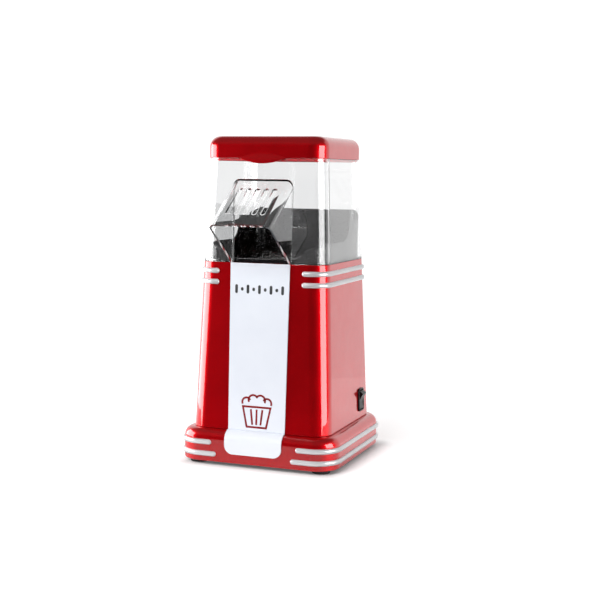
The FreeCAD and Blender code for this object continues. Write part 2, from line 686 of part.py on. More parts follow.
# ---- motor and fan ----
def make_motor_mount():
    top = DUCT_BOTTOM_Z
    z0 = top - MOUNT_THICK
    parts = [ring(MOUNT_RING_R[1], MOUNT_RING_R[0], z0, top), rod(16.0, z0, top)]
    for angle in EAR_ANGLES:
        arm = box(10, MOUNT_RING_R[0] + 2, -4, 4, z0, top)
        ear = rod(4.5, z0, top, EAR_X, 0).fuse(box(MOUNT_RING_R[1] - 2, EAR_X, -4.5, 4.5, z0, top))
        parts += [turned(arm, angle), turned(ear, angle)]
    mount = fuse_all(parts)
    mount = mount.cut(rod(4.0, z0 - 1, top + 1))
    holes = [turned(rod(FOOT_SCREW_BORE_R, z0 - 1, top + 1, EAR_X, 0), a) for a in EAR_ANGLES]
    holes += [rod(1.6, z0 - 1, top + 1, x, 0) for x in (-8.0, 8.0)]
    return mount.cut(Part.makeCompound(holes))


def make_mount_screws():
    z0 = DUCT_BOTTOM_Z - MOUNT_THICK
    one = screw(EAR_X, 0, z0, DUCT_BOTTOM_Z + 6)
    return Part.makeCompound([turned(one, a) for a in EAR_ANGLES])


def make_motor_can():
    z0, z1 = MOTOR_Z
    can = rod(MOTOR_R, z0 + 2.5, z1).cut(rod(MOTOR_R - 1.2, z0 + 2.5, z1 - 1.2))
    boss = rod(3.4, z1 - 3.5, z1 + 2.0)
    can = can.fuse(boss).cut(rod(SHAFT_R + SHAFT_GAP, z0, z1 + 5))
    for x in (-8.0, 8.0):
        can = can.cut(rod(1.25, z1 - 3, z1 + 1, x, 0))
    return can.removeSplitter()


def make_motor_end_cap():
    z0 = MOTOR_Z[0]
    cap = rod(MOTOR_R, z0, z0 + 2.5).fuse(rod(4.0, z0 - 2.0, z0 + 3.5))
    cap = cap.cut(rod(SHAFT_R + SHAFT_GAP, z0 - 0.8, z0 + 10))
    tabs = [box(x - 1.4, x + 1.4, -10.3, -9.7, z0 - 4.0, z0 + 1) for x in (-5.0, 5.0)]
    return fuse_all([cap] + tabs)


def make_motor_magnets():
    z0, z1 = MOTOR_Z
    sleeve = ring(MOTOR_R - 1.2, 11.0, z0 + 7, z1 - 5)
    gap = box(-20, 20, -5, 5, 0, 100)
    return sleeve.cut(gap)


def make_motor_rotor():
    z0, z1 = MOTOR_Z
    core = rod(10.2, z0 + 9, z1 - 7)
    slot = box(6.0, 12.0, -1.2, 1.2, 0, 100).fuse(rod(2.6, 0, 100, 6.5, 0))
    core = core.cut(Part.makeCompound([turned(slot, a) for a in (0, 120, 240)]))
    commutator = rod(3.0, z0 + 4.5, z0 + 9.5)
    return core.fuse(commutator).cut(rod(SHAFT_R, 0, 100)).removeSplitter()


def make_motor_shaft():
    return rod(SHAFT_R, MOTOR_Z[0], FAN_Z[1] - 0.5)


def make_motor_screws():
    top = DUCT_BOTTOM_Z
    screws = []
    for x in (-8.0, 8.0):
        head = rod(2.4, top, top + 1.4, x, 0)
        shaft = rod(1.25, MOTOR_Z[1] - 1.2, top, x, 0)
        slot = box(x - 1.6, x + 1.6, -0.3, 0.3, top + 0.8, top + 2)
        screws.append(head.fuse(shaft).cut(slot).removeSplitter())
    return Part.makeCompound(screws)


def make_fan_impeller():
    z0, z1 = FAN_Z
    hub = rod(10.0, z0, z1)
    hub = hub.makeFillet(2.0, edges_at(hub, z1))
    height = z1 - z0
    blade = box(8.0, FAN_R + 5, -1.0, 1.0, -height, height)
    blade = moved(turned(blade, 38, V(1, 0, 0)), V(0, 0, (z0 + z1) / 2))
    blade = blade.common(rod(FAN_R, z0, z1 - 1.0))
    blades = [turned(blade, i * 360 / FAN_BLADES) for i in range(FAN_BLADES)]
    return fuse_all([hub] + blades).cut(rod(SHAFT_R, z0 - 1, z1 - 0.5))


# ---- electrical pieces ----
def make_rectifier_board():
    board = box(-66, -40, 18, 48, 12.0, 13.6)
    for x, y in BOARD_STANDS:
        board = board.cut(rod(1.6, 11, 15, x, y))
    return board


def make_rectifier_diodes():
    diodes = []
    for y in DIODE_Y:
        barrel = Part.makeCylinder(2.4, 8.0, V(-54.0, y, 16.4), V(1, 0, 0))
        wire = Part.makeCylinder(0.7, 13.0, V(-56.5, y, 16.4), V(1, 0, 0))
        legs = [rod(0.5, 13.6, 16.4, x, y) for x in (-55.4, -44.6)]
        diodes.append(fuse_all([barrel, wire] + legs))
    return Part.makeCompound(diodes)


def make_terminal_block():
    z = PLATE_Z + PLATE_THICK + BLOCK_PAD_HEIGHT
    block = box(11, 37, 51, 63, z, z + 12)
    for x in BLOCK_X:
        block = block.cut(Part.makeCylinder(1.6, 30, V(x, 40, z + 5), V(0, 1, 0)))
        for y in BLOCK_Y:
            block = block.cut(rod(1.9, z + 8, z + 20, x, y))
    return block


def make_block_screws():
    z = PLATE_Z + PLATE_THICK + BLOCK_PAD_HEIGHT
    pins = []
    for x in BLOCK_X:
        for y in BLOCK_Y:
            pin = rod(1.7, z + 8, z + 11, x, y)
            pins.append(pin.cut(box(x - 1.4, x + 1.4, y - 0.3, y + 0.3, z + 10.3, z + 12)))
    return Part.makeCompound(pins)


def on_side_face(shape):
    """Places a shape built around the switch's own frame (X out of the wall) on the leaning +X wall."""
    leaned = turned(shape, -math.degrees(WALL_LEAN), V(0, 1, 0))
    return moved(leaned, V(body_half(SWITCH_Z), SWITCH_Y, SWITCH_Z))


def side_plate(half_y, half_z, corner, x0, x1):
    plate = rounded_prism(half_z, corner, x0, x1, half_y)
    return turned(plate, 90, V(0, 1, 0))


def make_switch_housing():
    bezel = side_plate(BEZEL_HALF_Y, BEZEL_HALF_Z, 3.5, 0.0, BEZEL_THICK)
    outer_face = [e for e in bezel.Edges if abs(e.BoundBox.XMin - BEZEL_THICK) < 1e-4
                  and abs(e.BoundBox.XMax - BEZEL_THICK) < 1e-4]
    bezel = bezel.makeFillet(0.7, outer_face)
    body = side_plate(BEZEL_HALF_Y - 0.6, BEZEL_HALF_Z - 0.8, 0.8, -17.0, 0.5)
    solid = fuse_all([bezel, body])
    solid = solid.cut(side_plate(WINDOW_HALF_Y, WINDOW_HALF_Z, 0.6, -10.0, 5.0))
    reach = WINDOW_HALF_Y + 0.8
    pivot = Part.makeCylinder(1.05, 2 * reach, V(ROCKER_PIVOT_X, -reach, 0), V(0, 1, 0))
    return on_side_face(solid.cut(pivot))


def rocker_point(radius, degrees):
    a = math.radians(degrees)
    return V(ROCKER_PIVOT_X + radius * math.cos(a), 0, radius * math.sin(a))


def make_switch_rocker():
    """Rocker with arc ends about its pivot and a shallow valley across its face."""
    corner_deg = 52.0
    back_deg = 112.0
    mid_deg = (corner_deg + back_deg) / 2
    corners = [rocker_point(ROCKER_R, s * corner_deg) for s in (1, -1)]
    backs = [rocker_point(ROCKER_R, s * back_deg) for s in (1, -1)]
    valley = V(1.3, 0, 0)
    edges = [
        Part.LineSegment(corners[1], valley).toShape(),
        Part.LineSegment(valley, corners[0]).toShape(),
        Part.Arc(corners[0], rocker_point(ROCKER_R, mid_deg), backs[0]).toShape(),
        Part.LineSegment(backs[0], backs[1]).toShape(),
        Part.Arc(backs[1], rocker_point(ROCKER_R, -mid_deg), corners[1]).toShape(),
    ]
    body = Part.Face(Part.Wire(edges)).extrude(V(0, 2 * ROCKER_HALF_Y, 0))
    body = moved(body, V(0, -ROCKER_HALF_Y, 0))
    pin_half = ROCKER_HALF_Y + 0.9
    pins = Part.makeCylinder(1.0, 2 * pin_half, V(ROCKER_PIVOT_X, -pin_half, 0), V(0, 1, 0))
    rocker = turned(fuse_all([body, pins]), -ROCKER_REST_DEG, V(0, 1, 0), V(ROCKER_PIVOT_X, 0, 0))
    return on_side_face(rocker)


def make_switch_terminals():
    blades = []
    for z in (-6.0, 0.0, 6.0):
        blades.append(box(-25.0, -17.0, -2.4, 2.4, z - 0.4, z + 0.4))
    return on_side_face(Part.makeCompound(blades))


def make_cord_gland():
    wall_y = body_half(GLAND_Z)
    out = V(0, 1, 0)
    flange = Part.makeCylinder(9.0, 2.5, V(GLAND_X, wall_y + 0.5, GLAND_Z), out)
    flange = flange.makeFillet(1.0, [e for e in flange.Edges if e.BoundBox.YMin > wall_y + 2.9])
    neck = Part.makeCylinder(GLAND_NECK_R, 14.0, V(GLAND_X, wall_y - 11.5, GLAND_Z), out)
    return flange.fuse(neck).cut(Part.makeCylinder(GLAND_BORE_R, 40, V(GLAND_X, wall_y - 20, GLAND_Z), out))


def make_cord_gland_nut():
    wall_y = body_half(GLAND_Z) - WALL
    hexagon = [V(GLAND_X + 10.0 * math.cos(math.radians(60 * i)), wall_y - 5.6,
                 GLAND_Z + 10.0 * math.sin(math.radians(60 * i))) for i in range(6)]
    nut = Part.Face(Part.makePolygon(hexagon + hexagon[:1])).extrude(V(0, 5.0, 0))
    return nut.cut(Part.makeCylinder(GLAND_NECK_R, 20, V(GLAND_X, wall_y - 12, GLAND_Z), V(0, 1, 0)))


# ---- lift-off cover, chute hood and lid ----
def hood_slope():
    """Angle of the hood's top plate, in degrees above level."""
    back_y = -cover_half(HOOD_BACK_Z)
    return math.degrees(math.atan2(HOOD_BACK_Z - HOOD_TIP.z, back_y - HOOD_TIP.y))


def from_hood_plane(shape):
    """Places a shape built with the top plate level and the tip at the origin."""
    return moved(turned(shape, hood_slope(), V(1, 0, 0)), HOOD_TIP)


def hood_fill(half, corner, drop):
    """Solid under the hood's top plate: square below, rounded along its two top edges."""
    depth = 150.0
    block = box(-half, half, -30, 110, -depth, -drop)
    long_top = [e for e in block.Edges if e.BoundBox.YLength > 100 and abs(e.BoundBox.ZMin + drop) < 1e-4]
    return from_hood_plane(block.makeFillet(corner, long_top))


def front_slab(inset0, inset1, z0, z1):
    """The layer between two insets of the cover's front wall."""
    outline = [(-cover_half(z0) + inset0, z0), (-cover_half(z0) + inset1, z0),
               (-cover_half(z1) + inset1, z1), (-cover_half(z1) + inset0, z1)]
    return prism_x(outline, 80)


def make_clear_cover():
    shell = cover_block(BODY_TOP_Z, COVER_TOP_Z, 0.0)
    shell = shell.cut(cover_block(BODY_TOP_Z - 1, COVER_TOP_Z + 1, CLEAR_WALL))
    lip_inner = GUARD_HALF + FIT_GAP
    lip_corner = GUARD_CORNER_R + FIT_GAP
    lip_bottom = BODY_TOP_Z - 5.5
    lip = body_block(lip_bottom, BODY_TOP_Z, WALL + FIT_GAP)
    ledge = rounded_prism(BODY_TOP_HALF - 1.6, BODY_CORNER_R - 1.6, BODY_TOP_Z, BODY_TOP_Z + 1.8)
    lip = lip.fuse(ledge).cut(rounded_prism(lip_inner, lip_corner, lip_bottom - 1, BODY_TOP_Z + 3))
    opening = hood_fill(HOOD_HALF, HOOD_CORNER_R, 0.0).common(front_slab(-10, 10, BODY_TOP_Z, COVER_TOP_Z))
    return fuse_all([shell, lip]).cut(opening)


def make_chute_hood():
    """Sloping top plate and two side walls; it is open at the front, below, and towards the cabin."""
    low_z = BODY_TOP_Z + 0.2
    tip = (HOOD_TIP.y, HOOD_TIP.z)
    high_z = HOOD_BACK_Z + HOOD_BACK_INSET
    outline = [tip, (-cover_half(high_z), high_z), (-cover_half(high_z) + HOOD_BACK_INSET, high_z),
               (-cover_half(low_z) + HOOD_BACK_INSET, low_z), (-cover_half(low_z), low_z)]
    profile = prism_x(outline, 60)
    hood = hood_fill(HOOD_HALF, HOOD_CORNER_R, 0.0).common(profile)
    hood = hood.cut(hood_fill(HOOD_HALF - HOOD_WALL, HOOD_CORNER_R - HOOD_WALL, HOOD_WALL))
    tabs = []
    for z in (205.0, 238.0):
        layer = front_slab(CLEAR_WALL + 0.1, HOOD_BACK_INSET, z, z + 8)
        for side in (1, -1):
            x = side * HOOD_HALF
            x0, x1 = sorted((x - side, x + 2.3 * side))
            tabs.append(layer.common(box(x0, x1, -80, 0, z, z + 8)))
    hood = fuse_all([hood] + tabs)
    rise = math.sin(math.radians(hood_slope()))
    along = [(z - HOOD_TIP.z) / rise for z in SLOT_Z]
    slots = []
    r = SLOT_WIDTH / 2
    for i in range(SLOT_COUNT):
        x = (i - (SLOT_COUNT - 1) / 2) * SLOT_PITCH
        slots.append(box(x - r, x + r, along[0] + r, along[1] - r, -5, 5))
        slots.append(rod(r, -5, 5, x, along[0] + r))
        slots.append(rod(r, -5, 5, x, along[1] - r))
    return hood.cut(from_hood_plane(Part.makeCompound(slots)))


def make_lid():
    shell = domed_prism(LID_HALF, LID_CORNER_R, COVER_TOP_Z, TOTAL_TOP_Z, LID_ROUND_R)
    shell = shell.cut(domed_prism(LID_HALF - LID_WALL, LID_CORNER_R - LID_WALL, COVER_TOP_Z - 1,
                                  TOTAL_TOP_Z - LID_WALL, LID_ROUND_R - LID_WALL))
    plug = rounded_prism(PLUG_HALF, LID_CORNER_R - 3.0, PLUG_BOTTOM_Z, TOTAL_TOP_Z - 1.2)
    plug = plug.cut(rounded_prism(PLUG_HALF - 1.8, LID_CORNER_R - 4.8, PLUG_BOTTOM_Z - 1, TOTAL_TOP_Z))
    plug = plug.common(domed_prism(LID_HALF - 1, LID_CORNER_R - 1, PLUG_BOTTOM_Z - 1, TOTAL_TOP_Z - 1,
                                   LID_ROUND_R - 1))
    return fuse_all([shell, plug, make_lid_lip()])


def make_lid_lip():
    """Lens-shaped thumb lip that flares forward below the lid's rim."""
    low_z = PLUG_BOTTOM_Z
    high_z = 287.0
    y = -LID_HALF
    left = V(-LIP_HALF, y - 10, COVER_TOP_Z)
    right = V(LIP_HALF, y - 10, COVER_TOP_Z)
    lower = Part.Arc(left, V(0, y - 10, low_z), right).toShape()
    upper = Part.Arc(right, V(0, y - 10, high_z), left).toShape()
    lens = Part.Face(Part.Wire([lower, upper])).extrude(V(0, 30, 0))
    outline = [(y + 1.5, high_z + 1), (y - 0.2, high_z + 1), (y - 2.8, low_z - 1), (y - 0.9, low_z - 1),
               (y - 0.4, COVER_TOP_Z), (y + 1.5, COVER_TOP_Z)]
    return lens.common(prism_x(outline, 40))


# ---- internal leads ----
def make_lead(points):
    """Insulated lead on its fixed route: straight runs joined by tangent arcs as large as the runs allow."""
    return tube_along(rounded_path(points, LEAD_BEND_R), LEAD_R)


def nodes():
    """Every node of the machine, by name."""
    shapes = {
        "main_housing": make_main_housing(),
        "base_skirt": make_base_skirt(),
        "bottom_plate": make_bottom_plate(),
        "foot_screws": make_foot_screws(),
        "housing_screws": make_housing_screws(),
        "front_strip": make_front_strip(),
        "base_strip": make_base_strip(),
        "bowl_guard": make_bowl_guard(),
        "popping_chamber": make_popping_chamber(),
        "chamber_gasket": make_chamber_gasket(),
        "air_duct": make_air_duct(),
        "deck_screws": make_deck_screws(),
        "mica_board_long": make_mica_board(0, True),
        "mica_board_cross": make_mica_board(90, False),
        "heating_coil": make_heating_coil(),
        "heater_terminals": make_heater_terminals(),
        "thermostat": make_thermostat(),
        "thermal_fuse": make_thermal_fuse(),
        "fuse_clip": make_fuse_clip(),
        "motor_mount": make_motor_mount(),
        "mount_screws": make_mount_screws(),
        "motor_can": make_motor_can(),
        "motor_end_cap": make_motor_end_cap(),
        "motor_magnets": make_motor_magnets(),
        "motor_screws": make_motor_screws(),
        "motor_rotor": make_motor_rotor(),
        "motor_shaft": make_motor_shaft(),
        "fan_impeller": make_fan_impeller(),
        "rectifier_board": make_rectifier_board(),
        "rectifier_diodes": make_rectifier_diodes(),
        "terminal_block": make_terminal_block(),
        "block_screws": make_block_screws(),
        "switch_housing": make_switch_housing(),
        "switch_rocker": make_switch_rocker(),
        "switch_terminals": make_switch_terminals(),
        "cord_gland": make_cord_gland(),
        "cord_gland_nut": make_cord_gland_nut(),
        "clear_cover": make_clear_cover(),
        "chute_hood": make_chute_hood(),
        "lid": make_lid(),
    }
    for name, points in LEAD_ROUTES.items():
        shapes[name] = make_lead(points)
    for i, (px, py) in enumerate(corner_points(FOOT_X), start=1):
        shapes["rubber_foot_%d" % i] = make_foot(px, py)
    for name, z in BODY_BAND_Z.items():
        backing = body_block(z - 10, min(z + 10, BODY_TOP_Z + 4), 0.0)
        shapes[name] = make_band(name, body_half(z), BODY_CORNER_R, z, backing)
    for name, z in BASE_BAND_Z.items():
        backing = rounded_prism(BASE_HALF, BASE_CORNER_R, z - 10, z + 10)
        shapes[name] = make_band(name, BASE_HALF, BASE_CORNER_R, z, backing)
    return shapes


os.makedirs("parts", exist_ok=True)
for name, shape in nodes().items():
    if not shape.isValid() or not shape.Solids or min(s.Volume for s in shape.Solids) <= 0:
        print("CHECK", name, shape.isValid(), len(shape.Solids))
    shape.exportStep("parts/%s.step" % name)
    print("%-24s solids %2d  volume %9.1f" % (name, len(shape.Solids), shape.Volume))
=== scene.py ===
import json
import math

import bmesh
import bpy
from mathutils import Matrix, Vector


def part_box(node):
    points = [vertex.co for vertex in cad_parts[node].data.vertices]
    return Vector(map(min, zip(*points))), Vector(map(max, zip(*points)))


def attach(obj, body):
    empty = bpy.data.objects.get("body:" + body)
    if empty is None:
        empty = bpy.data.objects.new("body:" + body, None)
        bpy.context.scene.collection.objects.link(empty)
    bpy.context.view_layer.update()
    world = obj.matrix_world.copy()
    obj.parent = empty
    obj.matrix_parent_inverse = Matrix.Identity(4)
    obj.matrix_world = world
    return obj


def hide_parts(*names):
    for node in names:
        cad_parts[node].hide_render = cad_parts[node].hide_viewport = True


# Hot-air popcorn maker in metres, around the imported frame. +Z is up, -Y is the front with the chute.

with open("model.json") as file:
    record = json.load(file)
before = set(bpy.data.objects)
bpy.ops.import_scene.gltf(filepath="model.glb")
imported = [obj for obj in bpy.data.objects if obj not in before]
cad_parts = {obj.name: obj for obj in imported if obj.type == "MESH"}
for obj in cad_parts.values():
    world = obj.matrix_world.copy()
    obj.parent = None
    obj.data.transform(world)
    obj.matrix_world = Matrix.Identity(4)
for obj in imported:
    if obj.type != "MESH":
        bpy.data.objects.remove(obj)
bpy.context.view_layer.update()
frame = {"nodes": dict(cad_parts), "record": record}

# ---- places read from the frame ----
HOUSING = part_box("main_housing")
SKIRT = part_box("base_skirt")
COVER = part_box("clear_cover")
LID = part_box("lid")
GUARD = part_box("bowl_guard")
BODY_FOOT_Z = HOUSING[0].z
BODY_TOP_Z = HOUSING[1].z
BODY_FOOT_HALF = HOUSING[1].x
BODY_TOP_HALF = COVER[1].x
COVER_TOP_Z = COVER[1].z
BASE_HALF = SKIRT[1].x
BASE_FOOT_Z = SKIRT[0].z
LID_HALF = LID[1].x
LID_TOP_Z = LID[1].z
GUARD_HALF = GUARD[1].x
GUARD_REAR_Z = GUARD[1].z

# ---- radii, walls and trim sizes ----
BODY_CORNER_R = 0.0164
BODY_FOOT_INSET = 0.0009
COVER_TOP_HALF = 0.0572
BASE_CORNER_R = 0.022
SHOULDER_R = 0.0086
DECK_OPENING_R = 0.057
WALL = 0.0025
EASE = 0.0003
CLEAR_WALL = 0.0022
JOINT_GAP = 0.00012
INK_HEIGHT = 0.00015
INK_SUNK = 0.00005
BAND_HEIGHT = 0.0047
BAND_PROUD = 0.002
BAND_END_X = {"body_band_upper": 0.040, "body_band_lower": 0.040,
              "base_band_upper": 0.041, "base_band_lower": 0.0363}
STRIP_PROUD = 0.001
STRIP_TOP_HALF = 0.0288
STRIP_LOW_HALF = 0.0277
STRIP_LOW_Z = 0.0127
STRIP_CORNER_R = 0.008
LID_CORNER_R = 0.016
LID_ROUND_R = 0.010
LID_WALL = 0.0022
PLUG_HALF = 0.0545
PLUG_WALL = 0.0018
LIP_HALF = 0.0225
LIP_TOP_Z = 0.287
LIP_FLARE = 0.0027
HOOD_HALF = 0.0292
HOOD_WALL = 0.002
HOOD_CORNER_R = 0.0065
HOOD_TIP = Vector((0.0, -0.1125, 0.2220))
HOOD_BACK_Z = 0.2595
HOOD_BACK_INSET = 0.0023
SLOT_COUNT = 5
SLOT_PITCH = 0.0082
SLOT_WIDTH = 0.0046
SLOT_Z = (0.2313, 0.2532)
GUARD_CORNER_R = 0.014
GUARD_WALL = 0.0018
GUARD_SIDE_Z = 0.204
GUARD_FRONT_Z = 0.190
GUARD_DIP_HALF = 0.025
GUARD_DIP_END = (0.053, 0.202)
GUARD_DIP_DEPTH = 0.038
GUARD_DIP_FADE = 0.008
GUARD_RISE_Y = 0.036
GUARD_REAR_Y = 0.02
GUARD_REAR_CORNER_R = 0.009
BOWL_MOUTH_R = 0.044
BOWL_FLAT_R = 0.049
BOWL_THICK = 0.0012
BOWL_LIP = 0.0008
BOWL_SLOPE = 9.0 / 31.0
SWITCH_Y = 0.033
SWITCH_Z = 0.051
SWITCH_WINDOW = (0.007, 0.0103, 0.01)
ROCKER_HALF_Y = 0.0054
ROCKER_R = 0.0094
ROCKER_PIVOT_X = -0.0024
ROCKER_TILT_DEG = 12.0
FOOT_X = 0.060

# ---- studio: light strengths are radiances, ramps are (from, to) along a direction's Y or Z ----
FLOOR_CORNERS = ((-0.42, -0.20), (0.42, -0.20), (0.42, 0.50), (-0.42, 0.50))
SHADE_HALF = 0.066
# The near glow ramp stays low just beside the part's footprint: a painted contact shadow on the floor.
NEAR_GLOW_PAINTED_SHADOW = (0.10, 0.62, 0.004, 0.026)
FAR_GLOW = (0.0, 0.25, 0.04, 0.22)
FRONT_FADE = (0.12, 1.0, -0.05, 0.06)
BACKDROP_LIGHT = 1.1
BACKDROP_SPAN = (0.25, 0.55)
BACKDROP_TOP = (0.55, 0.72)
ROOM_LIGHT = 0.02
TOP_LIGHT = 0.13
ROOM_SPAN = (0.25, 0.75)
SEEN_THROUGH = 0.91
INNER_LIGHT = 0.75
SOFTBOX_LIGHT = 7.5
SOFTBOXES = (
    ("softbox_right", (0.43, 0.60), (0.636, -0.149, 0.15), (0.045, -0.045, 0.15)),
    ("softbox_left", (0.64, 0.60), (-0.632, -0.138, 0.15), (-0.045, -0.05, 0.15)),
)
FILL_LIGHT = 11.0
FILL_SIZE = (1.0, 0.8)
FILL_PLACE = (-0.35, -1.25, 0.90)
FILL_AIM = (0.0, 0.0, 0.15)

# ---- camera: yaw, pitch and roll in degrees, the point it looks at and how far off it stands ----
CAMERA_ANGLES = (20.485, 6.03, 0.692)
CAMERA_TARGET = Vector((0.015512, 0.0, 0.147964))
CAMERA_DISTANCE = 1.12892
CAMERA_LENS = 71.70
CAMERA_SENSOR = 36.0

BODY_SLOPE = (BODY_FOOT_HALF - BODY_TOP_HALF) / (BODY_TOP_Z - BODY_FOOT_Z - BODY_FOOT_INSET)
COVER_SLOPE = (BODY_TOP_HALF - COVER_TOP_HALF) / (COVER_TOP_Z - BODY_TOP_Z)


def body_half(z):
    """Half width of the tapered red casing at height z."""
    return BODY_TOP_HALF + (BODY_TOP_Z - z) * BODY_SLOPE


def cover_half(z):
    """Half width of the tapered clear cover at height z."""
    return BODY_TOP_HALF - (z - BODY_TOP_Z) * COVER_SLOPE


# ---- node materials ----
def maths(tree, operation, first, second):
    """Output of a Math node whose two inputs are numbers or other outputs."""
    node = tree.nodes.new("ShaderNodeMath")
    node.operation = operation
    for socket, value in zip(node.inputs, (first, second)):
        if isinstance(value, float):
            socket.default_value = value
        else:
            tree.links.new(value, socket)
    return node.outputs[0]


class Finish:
    """A Principled material whose inputs are driven from noise in the part's own frame."""

    def __init__(self, name, **constants):
        self.material = bpy.data.materials.new(name)
        self.material.use_nodes = True
        self.tree = self.material.node_tree
        self.shader = self.tree.nodes["Principled BSDF"]
        self.place = self.tree.nodes.new("ShaderNodeTexCoord").outputs["Object"]
        for socket, value in constants.items():
            self.shader.inputs[socket.replace("_", " ")].default_value = value

    def link(self, source, node, socket):
        """Joins an output to a node's named input."""
        self.tree.links.new(source, node.inputs[socket])

    def noise(self, scale, detail=2.0, stretch=(1.0, 1.0, 1.0)):
        """Soft noise, finer with scale; stretch sets its grain along each axis."""
        mapping = self.tree.nodes.new("ShaderNodeMapping")
        mapping.inputs["Scale"].default_value = stretch
        self.link(self.place, mapping, "Vector")
        node = self.tree.nodes.new("ShaderNodeTexNoise")
        node.inputs["Scale"].default_value = scale
        node.inputs["Detail"].default_value = detail
        self.link(mapping.outputs[0], node, "Vector")
        return node.outputs["Fac"]

    def cells(self, scale):
        """One random value per small cell."""
        node = self.tree.nodes.new("ShaderNodeTexVoronoi")
        node.inputs["Scale"].default_value = scale
        self.link(self.place, node, "Vector")
        split = self.tree.nodes.new("ShaderNodeSeparateColor")
        self.link(node.outputs["Color"], split, "Color")
        return split.outputs["Red"]

    def remap(self, value, low, high, from_low=0.3, from_high=0.7):
        """Value moved from one span to low..high and held there."""
        node = self.tree.nodes.new("ShaderNodeMapRange")
        node.inputs["From Min"].default_value = from_low
        node.inputs["From Max"].default_value = from_high
        node.inputs["To Min"].default_value = low
        node.inputs["To Max"].default_value = high
        self.link(value, node, "Value")
        return node.outputs["Result"]

    def axis(self, name):
        """Place along X, Y or Z in the part's own frame."""
        split = self.tree.nodes.new("ShaderNodeSeparateXYZ")
        self.link(self.place, split, "Vector")
        return split.outputs[name]

    def vector(self, operation, first, second=None):
        """Vector maths of two vectors; length comes back as a value."""
        node = self.tree.nodes.new("ShaderNodeVectorMath")
        node.operation = operation
        self.tree.links.new(first, node.inputs[0])
        if second is not None:
            node.inputs[1].default_value = second
        return node.outputs["Value" if operation == "LENGTH" else "Vector"]

    def blend(self, factor, first, second):
        """Colour between two colours or colour outputs, by a 0 to 1 factor."""
        node = self.tree.nodes.new("ShaderNodeMix")
        node.data_type = "RGBA"
        self.link(factor, node, "Factor")
        for socket, colour in zip((node.inputs[6], node.inputs[7]), (first, second)):
            if isinstance(colour, tuple):
                socket.default_value = (*colour, 1.0)
            else:
                self.tree.links.new(colour, socket)
        return node.outputs[2]

    def colour(self, output):
        self.link(output, self.shader, "Base Color")

    def roughness(self, output):
        self.link(output, self.shader, "Roughness")

    def bump(self, height, distance, coat=False):
        """Relief of the surface, and of its clear coat if asked."""
        node = self.tree.nodes.new("ShaderNodeBump")
        node.inputs["Strength"].default_value = 1.0
        node.inputs["Distance"].default_value = distance
        self.link(height, node, "Height")
        self.link(node.outputs[0], self.shader, "Normal")
        if coat:
            self.link(node.outputs[0], self.shader, "Coat Normal")


def plain_finish(name, first, second, rough, metallic=0.0, scale=60.0, bump=0.00003, **constants):
    """Moulded or metal stock: two close tones, uneven roughness and a fine grain."""
    f = Finish(name, Metallic=metallic, **constants)
    f.colour(f.blend(f.remap(f.noise(scale, 4.0), 0.0, 1.0), first, second))
    f.roughness(f.remap(f.noise(scale * 5.0, 3.0), rough - 0.06, rough + 0.06))
    f.bump(f.noise(900.0, 3.0), bump)
    return f.material


def red_paint():
    """Candy-red metallic lacquer: fine flakes under a hard clear coat with a trace of orange peel."""
    f = Finish("candy_red_lacquer", Metallic=0.74, Coat_Weight=1.0, Coat_Roughness=0.02, Coat_IOR=1.6,
               Specular_IOR_Level=0.0)
    tone = f.blend(f.remap(f.noise(14.0, 3.0), 0.0, 1.0), (0.45, 0.0004, 0.0036), (0.52, 0.0006, 0.0042))
    f.colour(f.blend(f.cells(2600.0), tone, (0.60, 0.001, 0.005)))
    f.roughness(f.remap(f.noise(55.0, 4.0), 0.38, 0.45))
    f.bump(f.noise(150.0, 1.0), 0.000012, coat=True)
    return f.material


def satin_silver():
    """Vacuum-plated trim beads with a satin face."""
    f = Finish("satin_silver", Metallic=0.4)
    f.colour(f.blend(f.remap(f.noise(40.0, 4.0), 0.0, 1.0), (0.68, 0.685, 0.70), (0.74, 0.745, 0.76)))
    f.roughness(f.remap(f.noise(90.0, 2.0, (1.0, 1.0, 3.0)), 0.28, 0.32))
    f.bump(f.noise(500.0, 1.0), 0.000003)
    return f.material


def strip_white():
    """Cool white moulded plastic with a fine spark-eroded grain."""
    f = Finish("strip_white_plastic", Specular_IOR_Level=0.45)
    f.colour(f.blend(f.remap(f.noise(30.0, 4.0), 0.0, 1.0), (0.735, 0.765, 0.835), (0.77, 0.80, 0.865)))
    f.roughness(f.remap(f.noise(260.0, 4.0), 0.34, 0.46))
    f.bump(f.noise(2200.0, 2.0), 0.000020)
    return f.material


def clear_plastic():
    """Water-clear polystyrene: faint flow waves from moulding and a few fine wipe marks."""
    f = Finish("clear_polystyrene", Transmission_Weight=1.0, IOR=1.57)
    f.colour(f.blend(f.remap(f.noise(25.0, 2.0), 0.0, 1.0), (0.972, 0.976, 0.980), (0.990, 0.992, 0.994)))
    f.roughness(f.remap(f.noise(420.0, 5.0, (1.0, 1.0, 0.15)), 0.0, 0.03, 0.45, 0.75))
    f.bump(f.noise(26.0, 1.0), 0.00006)
    return f.material


def guard_black():
    """Deep black gloss plastic that shows soft moulding ripples and light dust."""
    f = Finish("guard_black_gloss", Specular_IOR_Level=0.35, Coat_Weight=0.10, Coat_Roughness=0.05)
    dust = f.remap(f.noise(1500.0, 5.0), 0.0, 1.0, 0.55, 0.8)
    f.colour(f.blend(dust, (0.0085, 0.0075, 0.0085), (0.035, 0.032, 0.032)))
    f.roughness(f.remap(f.noise(90.0, 4.0), 0.14, 0.24))
    f.bump(f.noise(70.0, 2.0), 0.00004)
    return f.material


